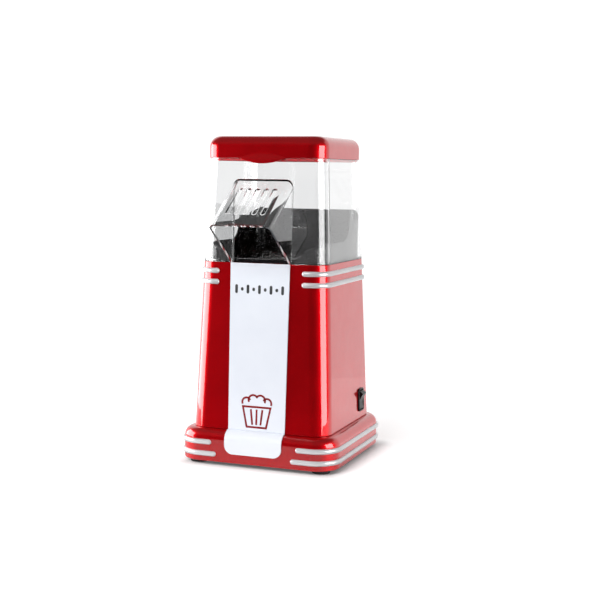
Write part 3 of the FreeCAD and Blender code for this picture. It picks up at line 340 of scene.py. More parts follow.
def spun_aluminium():
    """Bright aluminium with turning rings from spinning and a light toasting at the bottom."""
    f = Finish("spun_aluminium", Metallic=1.0, Anisotropic=0.5)
    rings = f.noise(60.0, 3.0, (0.4, 0.4, 30.0))
    bright = f.blend(f.remap(rings, 0.0, 1.0), (0.70, 0.70, 0.70), (0.88, 0.88, 0.87))
    toast = f.remap(f.axis("Z"), 0.55, 0.0, 0.104, 0.150)
    f.colour(f.blend(toast, bright, (0.42, 0.33, 0.22)))
    f.roughness(f.remap(rings, 0.24, 0.40))
    f.bump(rings, 0.00005)
    return f.material


RED = red_paint()
SILVER = satin_silver()
WHITE = strip_white()
CLEAR = clear_plastic()
BLACK_GLOSS = guard_black()
ALUMINIUM = spun_aluminium()
SWITCH_BLACK = plain_finish("switch_black", (0.008, 0.008, 0.009), (0.015, 0.015, 0.016), 0.34,
                            bump=0.00002, Specular_IOR_Level=0.22)
RUBBER = plain_finish("foot_rubber", (0.022, 0.022, 0.023), (0.040, 0.039, 0.038), 0.78, bump=0.00012)
PRINT_RED = plain_finish("print_dark_red", (0.190, 0.004, 0.008), (0.250, 0.006, 0.010), 0.42)
PRINT_GREY = plain_finish("print_dark_grey", (0.030, 0.030, 0.034), (0.052, 0.052, 0.056), 0.45)
STEEL = plain_finish("screw_steel", (0.48, 0.48, 0.49), (0.62, 0.62, 0.62), 0.34, 1.0)
SLOT_FINISH = {
    "casing_red": RED,
    "trim_silver": SILVER,
    "strip_white": WHITE,
    "clear_plastic": CLEAR,
    "guard_black": BLACK_GLOSS,
    "chamber_aluminium": ALUMINIUM,
    "switch_black": SWITCH_BLACK,
    "foot_rubber": RUBBER,
    "screw_steel": STEEL,
    "plate_black": plain_finish("plate_black", (0.018, 0.018, 0.019), (0.032, 0.032, 0.033), 0.55, bump=1e-4),
    "gasket_white": plain_finish("gasket_white", (0.62, 0.60, 0.56), (0.72, 0.70, 0.66), 0.85, bump=0.00015),
    "duct_black": plain_finish("duct_black", (0.02, 0.019, 0.018), (0.036, 0.034, 0.032), 0.50, bump=0.00008),
    "mica": plain_finish("mica", (0.46, 0.36, 0.22), (0.62, 0.52, 0.36), 0.35, scale=220.0),
    "heating_wire": plain_finish("heating_wire", (0.26, 0.22, 0.20), (0.42, 0.36, 0.30), 0.42, 1.0, 400.0),
    "terminal_brass": plain_finish("terminal_brass", (0.60, 0.42, 0.16), (0.74, 0.55, 0.25), 0.32, 1.0),
    "motor_steel": plain_finish("motor_steel", (0.42, 0.43, 0.44), (0.56, 0.57, 0.57), 0.36, 1.0),
    "motor_plastic": plain_finish("motor_plastic", (0.58, 0.56, 0.50), (0.68, 0.66, 0.60), 0.52),
    "magnet": plain_finish("magnet", (0.045, 0.043, 0.042), (0.075, 0.072, 0.070), 0.62, bump=0.00008),
    "rotor_iron": plain_finish("rotor_iron", (0.17, 0.17, 0.18), (0.28, 0.27, 0.27), 0.45, 1.0),
    "fan_plastic": plain_finish("fan_plastic", (0.16, 0.16, 0.165), (0.22, 0.22, 0.225), 0.48),
    "board": plain_finish("board", (0.030, 0.115, 0.045), (0.050, 0.160, 0.065), 0.38, scale=300.0),
    "diode_black": plain_finish("diode_black", (0.015, 0.015, 0.016), (0.028, 0.028, 0.028), 0.40),
    "block_ivory": plain_finish("block_ivory", (0.66, 0.62, 0.50), (0.75, 0.71, 0.60), 0.50),
    "lead_red": plain_finish("lead_red", (0.36, 0.012, 0.010), (0.46, 0.020, 0.015), 0.45),
    "lead_black": plain_finish("lead_black", (0.012, 0.012, 0.012), (0.024, 0.024, 0.024), 0.48),
}


def dress_frame():
    """Gives every carried-over frame node the finish of its material slot."""
    for part in frame["record"]["subparts"]:
        obj = frame["nodes"][part["node"]]
        material = SLOT_FINISH[part["material_slot"]]
        for held in obj.material_slots:
            held.material = material
        if not obj.material_slots:
            obj.data.materials.append(material)


# ---- mesh helpers ----
def ring(half, corner, z, steps=16, flats=6, half_y=None):
    """Rounded rectangle at height z, anticlockwise from the start of the front right corner's arc."""
    half_y = half if half_y is None else half_y
    corner = min(corner, half * 0.998, half_y * 0.998)
    points = []
    for sx, sy, start in ((1, -1, -90), (1, 1, 0), (-1, 1, 90), (-1, -1, 180)):
        centre = Vector((sx * (half - corner), sy * (half_y - corner), z))
        for k in range(steps + 1):
            a = math.radians(start + 90.0 * k / steps)
            points.append(centre + corner * Vector((math.cos(a), math.sin(a), 0.0)))
    full = []
    for i, point in enumerate(points):
        full.append(point)
        if i % (steps + 1) == steps:
            after = points[(i + 1) % len(points)]
            for k in range(1, flats + 1):
                full.append(point.lerp(after, k / (flats + 1)))
    return full


def turn_angles(count):
    """Even steps round one turn, in radians."""
    return [2 * math.pi * k / count for k in range(count)]


def loft(bm, rings, closed=False, cap_start=False, cap_end=False):
    """Skins a run of equal rings with quads. closed joins the last ring to the first."""
    rows = [[bm.verts.new(p) for p in r] for r in rings]
    pairs = list(zip(rows, rows[1:]))
    if closed:
        pairs.append((rows[-1], rows[0]))
    for low, high in pairs:
        for i in range(len(low)):
            j = (i + 1) % len(low)
            bm.faces.new((low[i], low[j], high[j], high[i]))
    if cap_start:
        bm.faces.new(list(reversed(rows[0])))
    if cap_end:
        bm.faces.new(rows[-1])


def prism(bm, outline, offset):
    """Closed solid that sweeps a flat outline by offset."""
    loft(bm, [outline, [p + offset for p in outline]], cap_start=True, cap_end=True)


def arc(centre, radius, start_deg, end_deg, steps):
    """(u, v) points on an arc, both ends included."""
    points = []
    for k in range(steps + 1):
        a = math.radians(start_deg + (end_deg - start_deg) * k / steps)
        points.append((centre[0] + radius * math.cos(a), centre[1] + radius * math.sin(a)))
    return points


def mesh_object(name, bm):
    """Object in the scene whose mesh is bm, which is used up."""
    bmesh.ops.recalc_face_normals(bm, faces=bm.faces)
    mesh = bpy.data.meshes.new(name)
    bm.to_mesh(mesh)
    bm.free()
    obj = bpy.data.objects.new(name, mesh)
    bpy.context.scene.collection.objects.link(obj)
    return obj


def settle(obj):
    """Applies the object's modifiers to its mesh."""
    graph = bpy.context.evaluated_depsgraph_get()
    mesh = bpy.data.meshes.new_from_object(obj.evaluated_get(graph))
    obj.modifiers.clear()
    old = obj.data
    obj.data = mesh
    bpy.data.meshes.remove(old)


def boolean(obj, bm, operation="DIFFERENCE"):
    """Cuts the object by, or trims it to, the solid in bm."""
    tool = mesh_object("tool", bm)
    modifier = obj.modifiers.new("cut", "BOOLEAN")
    modifier.operation = operation
    modifier.solver = "EXACT"
    modifier.object = tool
    settle(obj)
    bpy.data.objects.remove(tool)


def soften(obj, width, segments=2, angle=40.0):
    """Small round on every hard edge."""
    modifier = obj.modifiers.new("soften", "BEVEL")
    modifier.width = width
    modifier.segments = segments
    modifier.limit_method = "ANGLE"
    modifier.angle_limit = math.radians(angle)
    modifier.use_clamp_overlap = True
    settle(obj)


def finish_piece(obj, body, material, nodes=(), sharp=38.0):
    """Shades, paints and seats a finished mesh on its CAD body."""
    mesh = obj.data
    mesh.shade_smooth()
    mesh.set_sharp_from_angle(angle=math.radians(sharp))
    weigh = obj.modifiers.new("even_normals", "WEIGHTED_NORMAL")
    weigh.keep_sharp = True
    weigh.weight = 70
    mesh.materials.clear()
    mesh.materials.append(material)
    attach(obj, body)
    if nodes:
        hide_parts(*nodes)
    return obj


def profile_ring(half, corner, inset, z, **kwargs):
    """Ring of a wall face that lies inset inside a rounded square."""
    return ring(half - inset, corner - inset, z, **kwargs)


# ---- red casing ----
def side_frame():
    """Matrix of the switch's own frame: X out of the leaning right wall, Y back, Z up the wall."""
    lean = math.atan(BODY_SLOPE)
    place = Matrix.Translation((body_half(SWITCH_Z), SWITCH_Y, SWITCH_Z))
    return place @ Matrix.Rotation(-lean, 4, "Y")


def make_main_housing():
    """Tapered casing shell with a window for the switch and a round hole for the cord gland."""
    foot_r = BODY_FOOT_INSET
    rim_r = 0.0006
    rings = []
    for inset, rise in arc((foot_r, foot_r), foot_r, 270, 180, 5):
        z = BODY_FOOT_Z + rise
        rings.append(profile_ring(body_half(BODY_FOOT_Z + foot_r), BODY_CORNER_R, inset, z))
    for k in range(1, 8):
        z = BODY_FOOT_Z + foot_r + (BODY_TOP_Z - BODY_FOOT_Z - foot_r - rim_r) * k / 8
        rings.append(ring(body_half(z), BODY_CORNER_R, z))
    for inset, rise in arc((rim_r, -rim_r), rim_r, 180, 90, 4):
        rings.append(profile_ring(BODY_TOP_HALF, BODY_CORNER_R, inset, BODY_TOP_Z + rise))
    rings.append(profile_ring(BODY_TOP_HALF, BODY_CORNER_R, WALL - EASE, BODY_TOP_Z))
    rings.append(profile_ring(BODY_TOP_HALF, BODY_CORNER_R, WALL, BODY_TOP_Z - EASE))
    rings.append(profile_ring(body_half(BODY_FOOT_Z), BODY_CORNER_R, WALL, BODY_FOOT_Z))
    bm = bmesh.new()
    loft(bm, rings, closed=True)
    obj = mesh_object("red_casing", bm)
    half_y, half_z, half_x = SWITCH_WINDOW
    corners = ((-half_y, -half_z), (half_y, -half_z), (half_y, half_z), (-half_y, half_z))
    window = bmesh.new()
    prism(window, [side_frame() @ Vector((-half_x, y, z)) for y, z in corners],
          side_frame().to_3x3() @ Vector((2 * half_x, 0.0, 0.0)))
    boolean(obj, window)
    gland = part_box("cord_gland")
    centre = (gland[0] + gland[1]) / 2
    hole_r = 0.0066
    hole_y = (0.05, 0.08)
    around = [Vector((centre.x + hole_r * math.cos(a), hole_y[0], centre.z + hole_r * math.sin(a)))
              for a in turn_angles(48)]
    hole = bmesh.new()
    prism(hole, around, Vector((0.0, hole_y[1] - hole_y[0], 0.0)))
    boolean(obj, hole)
    return finish_piece(obj, "casing", RED, ["main_housing"])


def make_base_skirt():
    """Plinth shell: rolled shoulder, flat deck with a round opening, and an even wall inside."""
    top_z = BODY_FOOT_Z
    lip_r = 0.0008
    roll_z = top_z - SHOULDER_R
    rings = [profile_ring(BASE_HALF, BASE_CORNER_R, WALL, BASE_FOOT_Z)]
    for inset, rise in arc((lip_r, lip_r), lip_r, 270, 180, 4):
        rings.append(profile_ring(BASE_HALF, BASE_CORNER_R, inset, BASE_FOOT_Z + rise))
    for inset, rise in arc((SHOULDER_R, 0.0), SHOULDER_R, 180, 90, 16):
        rings.append(profile_ring(BASE_HALF, BASE_CORNER_R, inset, roll_z + rise))
    rings.append(ring(DECK_OPENING_R, DECK_OPENING_R, top_z))
    rings.append(ring(DECK_OPENING_R, DECK_OPENING_R, top_z - WALL))
    inner_r = SHOULDER_R - WALL
    for inset, rise in arc((inner_r, 0.0), inner_r, 90, 180, 8):
        rings.append(profile_ring(BASE_HALF - WALL, BASE_CORNER_R - WALL, inset, roll_z + rise))
    bm = bmesh.new()
    loft(bm, rings, closed=True)
    obj = mesh_object("red_base", bm)
    return finish_piece(obj, "casing", RED, ["base_skirt"])


# ---- trim ----
def band_path(half, corner, end_x):
    """(point, outward normal) pairs from the front right end, round the back, to the front left end."""
    path = [(Vector((end_x, -half, 0.0)), Vector((0.0, -1.0, 0.0)))]
    flat = half - corner
    for sx, sy, start in ((1, -1, -90), (1, 1, 0), (-1, 1, 90), (-1, -1, 180)):
        for k in range(17):
            a = math.radians(start + 90.0 * k / 16)
            normal = Vector((math.cos(a), math.sin(a), 0.0))
            path.append((Vector((sx * flat, sy * flat, 0.0)) + corner * normal, normal))
    path.append((Vector((-end_x, -half, 0.0)), Vector((0.0, -1.0, 0.0))))
    return path


def make_band(node, half, corner, slope):
    """Half-round bead on the leaning wall, closed by domed ends."""
    low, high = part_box(node)
    z = (low.z + high.z) / 2
    r = BAND_HEIGHT / 2
    steps = 12
    embed = 0.0006

    def section(point, normal, along, shrink):
        pts = []
        for k in range(steps + 1):
            a = math.radians(-90 + 180 * k / steps)
            rise = r * shrink * math.sin(a)
            out = BAND_PROUD * shrink * math.cos(a) - slope * rise
            pts.append(point + along + normal * out + Vector((0, 0, z + rise)))
        for s in (1, -1):
            rise = s * r * shrink
            pts.append(point + along + normal * (-embed - slope * rise) + Vector((0, 0, z + rise)))
        return pts

    path = band_path(half, corner, BAND_END_X[node] + r)
    rings = []
    for a in range(84, 0, -12):
        along = Vector((-r * math.sin(math.radians(a)), 0, 0))
        rings.append(section(*path[0], along, math.cos(math.radians(a))))
    rings += [section(p, n, Vector(), 1.0) for p, n in path]
    for a in range(12, 85, 12):
        along = Vector((r * math.sin(math.radians(a)), 0, 0))
        rings.append(section(*path[-1], along, math.cos(math.radians(a))))
    bm = bmesh.new()
    loft(bm, rings, cap_start=True, cap_end=True)
    obj = mesh_object(node.replace("band", "bead"), bm)
    return finish_piece(obj, "casing", SILVER, [node], sharp=60.0)


def plate(name, rows, columns, nodes):
    """Thin moulded plate with eased edges, from rows of (y, z, half width) on its outer face."""
    bm = bmesh.new()
    grid = []
    for y, z, half_x in rows:
        grid.append([bm.verts.new((half_x * (2.0 * c / columns - 1.0), y, z)) for c in range(columns + 1)])
    for low, high in zip(grid, grid[1:]):
        for c in range(columns):
            bm.faces.new((low[c], low[c + 1], high[c + 1], high[c]))
    obj = mesh_object(name, bm)
    solid = obj.modifiers.new("thickness", "SOLIDIFY")
    solid.thickness = STRIP_PROUD
    solid.offset = -1.0
    solid.use_even_offset = True
    settle(obj)
    soften(obj, EASE, 3, 50.0)
    return finish_piece(obj, "casing", WHITE, nodes, sharp=50.0)


def make_front_strip():
    """White strip that lies on the leaning front wall and widens a little upwards."""
    low_z = BODY_FOOT_Z + STRIP_PROUD
    rows = []
    for k in range(13):
        t = k / 12
        z = low_z + (BODY_TOP_Z - low_z) * t
        half_x = STRIP_LOW_HALF + (STRIP_TOP_HALF - STRIP_LOW_HALF) * t
        rows.append((-body_half(z) - STRIP_PROUD, z, half_x))
    return plate("white_front_strip", rows, 12, ["front_strip"])


def make_base_strip():
    """Lower end of the white strip: it runs over the plinth's shoulder and ends in two round corners."""
    roll_r = SHOULDER_R + STRIP_PROUD
    face_y = -BASE_HALF - STRIP_PROUD
    roll_z = BODY_FOOT_Z - SHOULDER_R
    corner_z = STRIP_LOW_Z + STRIP_CORNER_R
    rows = []
    for out, rise in arc((0.0, 0.0), roll_r, 90, 0, 14):
        rows.append((face_y + roll_r - out, roll_z + rise, STRIP_LOW_HALF))
    for out, drop in arc((0.0, 0.0), STRIP_CORNER_R, 0, 84, 12):
        rows.append((face_y, corner_z - drop, STRIP_LOW_HALF - STRIP_CORNER_R + out))
    rows.append((face_y, STRIP_LOW_Z, STRIP_LOW_HALF - STRIP_CORNER_R))
    return plate("white_base_strip", rows, 16, ["base_strip"])


# ---- black bowl guard ----
def s_rise(u, start, end, low, high):
    """Height on two equal tangent arcs that leave start and reach end level."""
    if u <= start:
        return low
    if u >= end:
        return high
    du, dv = end - start, high - low
    turn = 2 * math.atan2(dv, du)
    radius = du / (2 * math.sin(turn))
    first = u - start
    if first > du / 2:
        first = end - u
        return high - (radius - math.sqrt(radius ** 2 - first ** 2))
    return low + (radius - math.sqrt(radius ** 2 - first ** 2))


def guard_top(x, y):
    """Height of the guard's rim above a point of its wall."""
    top = s_rise(y, 0.0, GUARD_RISE_Y, GUARD_SIDE_Z, GUARD_REAR_Z)
    if y < -GUARD_DIP_DEPTH:
        dip = s_rise(abs(x), GUARD_DIP_HALF, GUARD_DIP_END[0], GUARD_FRONT_Z, GUARD_DIP_END[1])
        fade = min(1.0, (-GUARD_DIP_DEPTH - y) / GUARD_DIP_FADE)
        top = min(top, top + (dip - top) * fade)
    over = abs(x) - (GUARD_HALF - GUARD_REAR_CORNER_R)
    if y > GUARD_REAR_Y and over > 0:
        r = GUARD_REAR_CORNER_R
        top = min(top, GUARD_REAR_Z - r + math.sqrt(max(r ** 2 - over ** 2, 0.0)))
    return top


def make_bowl_guard():
    """Thin upright wall whose rim dips at the front and sweeps up to the back, with a dished floor."""
    low_z = GUARD[0].z
    half_wall = GUARD_WALL / 2
    shape = {"steps": 14, "flats": 44}
    flat_ring = ring(GUARD_HALF, GUARD_CORNER_R, 0.0, **shape)
    tops = [guard_top(p.x, p.y) - half_wall for p in flat_ring]

    def level(inset, share, rise=0.0):
        row = profile_ring(GUARD_HALF, GUARD_CORNER_R, inset, 0.0, **shape)
        return [Vector((p.x, p.y, low_z + (t - low_z) * share + rise)) for p, t in zip(row, tops)]

    rings = [level(0.0, k / 6) for k in range(7)]
    for out, rise in arc((0.0, 0.0), half_wall, 18, 162, 8):
        rings.append(level(half_wall - out, 1.0, rise))
    rings += [level(GUARD_WALL, 1.0 - k / 6) for k in range(7)]
    bm = bmesh.new()
    loft(bm, rings, closed=True)
    lip_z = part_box("popping_chamber")[1].z
    inner = profile_ring(GUARD_HALF, GUARD_CORNER_R, GUARD_WALL - 0.0002, 0.0, **shape)

    def dish(share, under=0.0):
        row = []
        for p in inner:
            reach = Vector((p.x, p.y)).length
            r = BOWL_MOUTH_R + (reach - BOWL_MOUTH_R) * share
            z = lip_z + BOWL_THICK + BOWL_LIP * min(1.0, (r - BOWL_MOUTH_R) / (BOWL_FLAT_R - BOWL_MOUTH_R))
            z += max(0.0, r - BOWL_FLAT_R) * BOWL_SLOPE
            row.append(Vector((p.x * r / reach, p.y * r / reach, z - under)))
        return row

    shares = [k / 10 for k in range(11)]
    loft(bm, [dish(s) for s in shares] + [dish(s, BOWL_THICK) for s in reversed(shares)], closed=True)
    obj = mesh_object("black_bowl_guard", bm)
    return finish_piece(obj, "casing", BLACK_GLOSS, ["bowl_guard"], sharp=50.0)


# ---- clear cover, chute hood and lid ----
def hood_slope():
    """Angle of the hood's top plate above level."""
    back_y = -cover_half(HOOD_BACK_Z)
    return math.atan2(HOOD_BACK_Z - HOOD_TIP.z, back_y - HOOD_TIP.y)


def hood_channel(half, corner, drop, grow=0.0):
    """Outline of the hood in a plane square to its slope: square below, rounded at its two top edges."""
    half += grow
    top = grow - drop
    depth = -0.15
    outline = [(half, depth)]
    outline += arc((half - corner, top - corner), corner, 0, 90, 8)
    outline += arc((corner - half, top - corner), corner, 90, 180, 8)
    outline.append((-half, depth))
    return outline


def hood_solid(bm, half, corner, drop, grow=0.0):
    """Long bar under the sloping top plate, in the part's frame."""
    slope = hood_slope()
    across = Vector((1, 0, 0))
    along = Vector((0, math.cos(slope), math.sin(slope)))
    up = Vector((0, -math.sin(slope), math.cos(slope)))
    start = HOOD_TIP - along * 0.03
    outline = [start + across * u + up * v for u, v in hood_channel(half, corner, drop, grow)]
    prism(bm, outline, along * 0.16)


def side_prism(bm, outline, half_x):
    """Solid that spans X between two copies of a (y, z) outline."""
    prism(bm, [Vector((-half_x, y, z)) for y, z in outline], Vector((2 * half_x, 0, 0)))


def make_clear_cover():
    """Square clear tower: tapered walls, an inner ledge and locating lip below, and the chute opening."""
    low_z = BODY_TOP_Z + JOINT_GAP
    high_z = COVER_TOP_Z - JOINT_GAP
    edge = 0.0004
    play = 0.0004
    lip_z = COVER[0].z
    lip_in = GUARD_HALF + play
    lip_corner = GUARD_CORNER_R + play
    ledge_z = BODY_TOP_Z + 0.0018
    rings = []
    for inset, rise in arc((edge, edge), edge, 270, 180, 3):
        rings.append(profile_ring(cover_half(low_z), BODY_CORNER_R, inset, low_z + rise))
    for k in range(1, 6):
        z = low_z + (high_z - low_z) * k / 6
        rings.append(ring(cover_half(z), BODY_CORNER_R, z))
    for inset, rise in arc((edge, -edge), edge, 180, 90, 3):
        rings.append(profile_ring(cover_half(high_z), BODY_CORNER_R, inset, high_z + rise))
    for inset, rise in arc((CLEAR_WALL - edge, -edge), edge, 90, 0, 3):
        rings.append(profile_ring(cover_half(high_z), BODY_CORNER_R, inset, high_z + rise))
    for k in range(5, 0, -1):
        z = low_z + (high_z - low_z) * k / 6
        rings.append(profile_ring(cover_half(z), BODY_CORNER_R, CLEAR_WALL, z))
    rings.append(profile_ring(cover_half(ledge_z), BODY_CORNER_R, CLEAR_WALL, ledge_z))
    rings.append(ring(lip_in, lip_corner, ledge_z))
    rings.append(ring(lip_in, lip_corner, lip_z))
    lip_half = body_half(lip_z) - WALL - play
    lip_out_corner = BODY_CORNER_R - WALL - play
    rings.append(ring(lip_half, lip_out_corner, lip_z))
    rings.append(ring(lip_half, lip_out_corner, low_z))
    bm = bmesh.new()
    loft(bm, rings, closed=True)
    obj = mesh_object("clear_tower", bm)
    opening = bmesh.new()
    hood_solid(opening, HOOD_HALF, HOOD_CORNER_R, 0.0, grow=JOINT_GAP)
    slab = bmesh.new()
    side_prism(slab, [(-0.09, 0.180), (-0.05, 0.180), (-0.05, 0.275), (-0.09, 0.275)], 0.05)
    tool = mesh_object("opening_form", opening)
    boolean(tool, slab, "INTERSECT")
    cut = bmesh.new()
    cut.from_mesh(tool.data)
    bpy.data.objects.remove(tool)
    boolean(obj, cut)
    soften(obj, EASE, 2, 50.0)
    return finish_piece(obj, "cover", CLEAR, ["clear_cover"], sharp=45.0)


def make_chute_hood():
    """Clear hood: sloping slotted plate and two side cheeks, open in front and below."""
    low_z = BODY_TOP_Z + 0.0002 + JOINT_GAP
    high_z = HOOD_BACK_Z + HOOD_BACK_INSET
    back_y = -cover_half(high_z)
    outer = bmesh.new()
    hood_solid(outer, HOOD_HALF, HOOD_CORNER_R, 0.0)
    obj = mesh_object("clear_chute", outer)
    low_y = -cover_half(low_z)
    trim = bmesh.new()
    side_prism(trim, [(HOOD_TIP.y, HOOD_TIP.z), (back_y, high_z), (back_y + HOOD_BACK_INSET, high_z),
                      (low_y + HOOD_BACK_INSET, low_z), (low_y, low_z)], 0.06)
    boolean(obj, trim, "INTERSECT")
    core = bmesh.new()
    hood_solid(core, HOOD_HALF - HOOD_WALL, HOOD_CORNER_R - HOOD_WALL, HOOD_WALL)
    boolean(obj, core)
    slope = hood_slope()
    along = Vector((0, math.cos(slope), math.sin(slope)))
    up = Vector((0, -math.sin(slope), math.cos(slope)))
    r = SLOT_WIDTH / 2
    start, end = ((z - HOOD_TIP.z) / math.sin(slope) for z in SLOT_Z)
    for k in range(SLOT_COUNT):
        x = (k - (SLOT_COUNT - 1) / 2) * SLOT_PITCH
        outline = [(x + u, v) for u, v in arc((0.0, end - r), r, 0, 180, 10)]
        outline += [(x + u, v) for u, v in arc((0.0, start + r), r, 180, 360, 10)]
        foot = [HOOD_TIP + Vector((u, 0, 0)) + along * v - up * 0.01 for u, v in outline]
        slot_form = bmesh.new()
        prism(slot_form, foot, up * 0.02)
        boolean(obj, slot_form)
    soften(obj, 0.0006, 4, 40.0)
    return finish_piece(obj, "cover", CLEAR, ["chute_hood"], sharp=45.0)


def make_lid():
    """Cap with a rolled top edge, a plug skirt inside the tower and a hollow underside."""
    rim_z = COVER_TOP_Z
    edge = 0.0006
    tip_r = 0.0005
    plug_z = COVER_TOP_Z - 0.0027
    plug_corner = LID_CORNER_R - 0.003
    inner_half = LID_HALF - LID_WALL
    groove_z = rim_z + 0.006
    roof_z = LID_TOP_Z - LID_WALL
    rings = [ring(PLUG_HALF - 0.030, 0.006, roof_z)]
    rings.append(ring(PLUG_HALF - PLUG_WALL - 0.004, plug_corner - PLUG_WALL - 0.002, roof_z))
    rings.append(ring(PLUG_HALF - PLUG_WALL, plug_corner - PLUG_WALL, roof_z - 0.004))
    for inset, rise in arc((tip_r, tip_r), tip_r, 0, -180, 4):
        rings.append(profile_ring(PLUG_HALF - PLUG_WALL + 2 * tip_r, plug_corner - PLUG_WALL + 2 * tip_r,
                                  inset, plug_z + rise))
    rings.append(ring(PLUG_HALF, plug_corner, plug_z + tip_r))
    rings.append(ring(PLUG_HALF, plug_corner, groove_z))
    rings.append(ring(inner_half, LID_CORNER_R - LID_WALL, groove_z))
    rings.append(ring(inner_half, LID_CORNER_R - LID_WALL, rim_z + 0.0004))
    rings.append(profile_ring(LID_HALF, LID_CORNER_R, LID_WALL - 0.0004, rim_z))
    for inset, rise in arc((edge, edge), edge, 270, 180, 4):
        rings.append(profile_ring(LID_HALF, LID_CORNER_R, inset, rim_z + rise))
    for inset, rise in arc((LID_ROUND_R, 0.0), LID_ROUND_R, 180, 90, 18):
        rings.append(profile_ring(LID_HALF, LID_CORNER_R, inset, LID_TOP_Z - LID_ROUND_R + rise))
    for share in (0.75, 0.5, 0.25):
        half = (LID_HALF - LID_ROUND_R) * share
        rings.append(ring(half, (LID_CORNER_R - LID_ROUND_R) * share, LID_TOP_Z))
    bm = bmesh.new()
    loft(bm, rings, cap_start=True, cap_end=True)
    thumb_lip(bm)
    obj = mesh_object("red_lid", bm)
    return finish_piece(obj, "lid", RED, ["lid"], sharp=45.0)


def thumb_lip(bm):
    """Lens-shaped lip that flares forward and down from the lid's front rim."""
    columns = 40
    rows = 10
    proud = 0.00005
    least_wall = 0.0009
    low_z = LID[0].z
    grid = []
    back = []
    for c in range(columns + 1):
        u = 2.0 * c / columns - 1.0
        bow = 1.0 - u * u
        low = COVER_TOP_Z - (COVER_TOP_Z - low_z) * bow
        high = COVER_TOP_Z + (LIP_TOP_Z - COVER_TOP_Z) * bow
        front_column = []
        back_column = []
        for k in range(rows + 1):
            t = k / rows
            z = high + (low - high) * t
            flare = LIP_FLARE * bow * t * t * (3.0 - 2.0 * t)
            front_column.append(Vector((u * LIP_HALF, -LID_HALF - proud - flare, z)))
            inner = -LID_HALF + 0.0012 if z > COVER_TOP_Z + 0.0002 else -LID_HALF + 0.0003 - flare * 0.55
            back_column.append(Vector((u * LIP_HALF, max(inner, -LID_HALF - flare + least_wall), z)))
        grid.append(front_column)
        back.append(back_column)
    rings = [f + list(reversed(b)) for f, b in zip(grid, back)]
    loft(bm, rings, cap_start=True, cap_end=True)


# ---- rocker switch, feet and cord gland ----
def local_ring(half_y, half_z, corner, x):
    """Rounded rectangle in the switch's own frame, at depth x."""
    points = ring(half_y, corner, 0.0, steps=8, flats=1, half_y=half_z)
    return [side_frame() @ Vector((x, p.x, p.y)) for p in points]


def make_switch_housing():
    """Bezel with a rolled edge, an open window and a body that passes into the casing."""
    window = (0.0057, 0.0097)
    flange = (0.0075, 0.011)
    barrel = (0.0069, 0.0102, 0.0008)
    thick = 0.0016
    roll = 0.0007
    rings = [local_ring(window[0] - 0.002, window[1] - 0.002, 0.0004, -0.010)]
    rings.append(local_ring(*window, 0.0006, -0.010))
    rings.append(local_ring(*window, 0.0006, thick - 0.0003))
    rings.append(local_ring(window[0] + 0.0003, window[1] + 0.0003, 0.0009, thick))
    for inset, rise in arc((roll, thick - roll), roll, 90, 180, 6):
        rings.append(local_ring(flange[0] - inset, flange[1] - inset, 0.0035 - inset, rise))
    rings.append(local_ring(*flange, 0.0035, 0.0002))
    rings.append(local_ring(*barrel, 0.0002))
    rings.append(local_ring(*barrel, -0.017))
    bm = bmesh.new()
    loft(bm, rings, cap_start=True, cap_end=True)
    obj = mesh_object("switch_bezel", bm)
    return finish_piece(obj, "casing", SWITCH_BLACK, ["switch_housing"], sharp=40.0)


def make_switch_rocker():
    """Rocker with arc ends about its pivot and a dished face."""
    corner_deg = 52.0
    back_deg = 112.0
    pivot = (ROCKER_PIVOT_X, 0.0)
    edge_x = ROCKER_PIVOT_X + ROCKER_R * math.cos(math.radians(corner_deg))
    edge_z = ROCKER_R * math.sin(math.radians(corner_deg))
    valley_x = 0.0013
    outline = []
    for k in range(17):
        z = edge_z * (k / 8.0 - 1.0)
        outline.append((valley_x + (edge_x - valley_x) * abs(z / edge_z) ** 1.6, z))
    outline += arc(pivot, ROCKER_R, corner_deg, back_deg, 8)[1:]
    outline += arc(pivot, ROCKER_R, -back_deg, -corner_deg, 8)[:-1]
    place = side_frame() @ Matrix.Translation((ROCKER_PIVOT_X, 0, 0))
    place = place @ Matrix.Rotation(math.radians(ROCKER_TILT_DEG), 4, "Y")
    place = place @ Matrix.Translation((-ROCKER_PIVOT_X, 0, 0))
    bm = bmesh.new()
    base = [place @ Vector((x, -ROCKER_HALF_Y, z)) for x, z in outline]
    prism(bm, base, side_frame().to_3x3() @ Vector((0, 2 * ROCKER_HALF_Y, 0)))
    obj = mesh_object("switch_paddle", bm)
    soften(obj, 0.0004, 3, 45.0)
    return finish_piece(obj, "rocker", SWITCH_BLACK, ["switch_rocker"], sharp=45.0)


def turned_piece(name, outline, place, body, material, nodes, count=56, sharp=35.0):
    """Closed body of revolution from (radius, height) points about the local Z axis."""
    bm = bmesh.new()
    rings = [[place @ Vector((r * math.cos(a), r * math.sin(a), z)) for a in turn_angles(count)]
             for r, z in outline]
    loft(bm, rings, closed=True)
    obj = mesh_object(name, bm)
    return finish_piece(obj, body, material, nodes, sharp=sharp)


def make_feet():
    """Rubber feet: rolled rim, two grip grooves underneath and a counterbore for the screw."""
    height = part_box("rubber_foot_1")[1].z
    bore_r, head_r, head_z = 0.0022, 0.0042, 0.0026
    outline = [(bore_r, height), (bore_r, head_z), (head_r, head_z), (head_r, EASE), (head_r + EASE, 0.0)]
    for groove in (0.0055, 0.0069):
        outline += [(groove - EASE, 0.0), (groove, 0.0005), (groove + EASE, 0.0)]
    outline += [(r, z) for r, z in arc((0.0075, 0.0008), 0.0008, 270, 360, 5)]
    outline += [(0.0088, height - 0.0004), (0.0086, height)]
    for k, (sx, sy) in enumerate(((1, 1), (1, -1), (-1, 1), (-1, -1)), start=1):
        place = Matrix.Translation((sx * FOOT_X, sy * FOOT_X, 0.0))
        turned_piece("rubber_pad_%d" % k, outline, place, "casing", RUBBER,
                     ["rubber_foot_%d" % k])


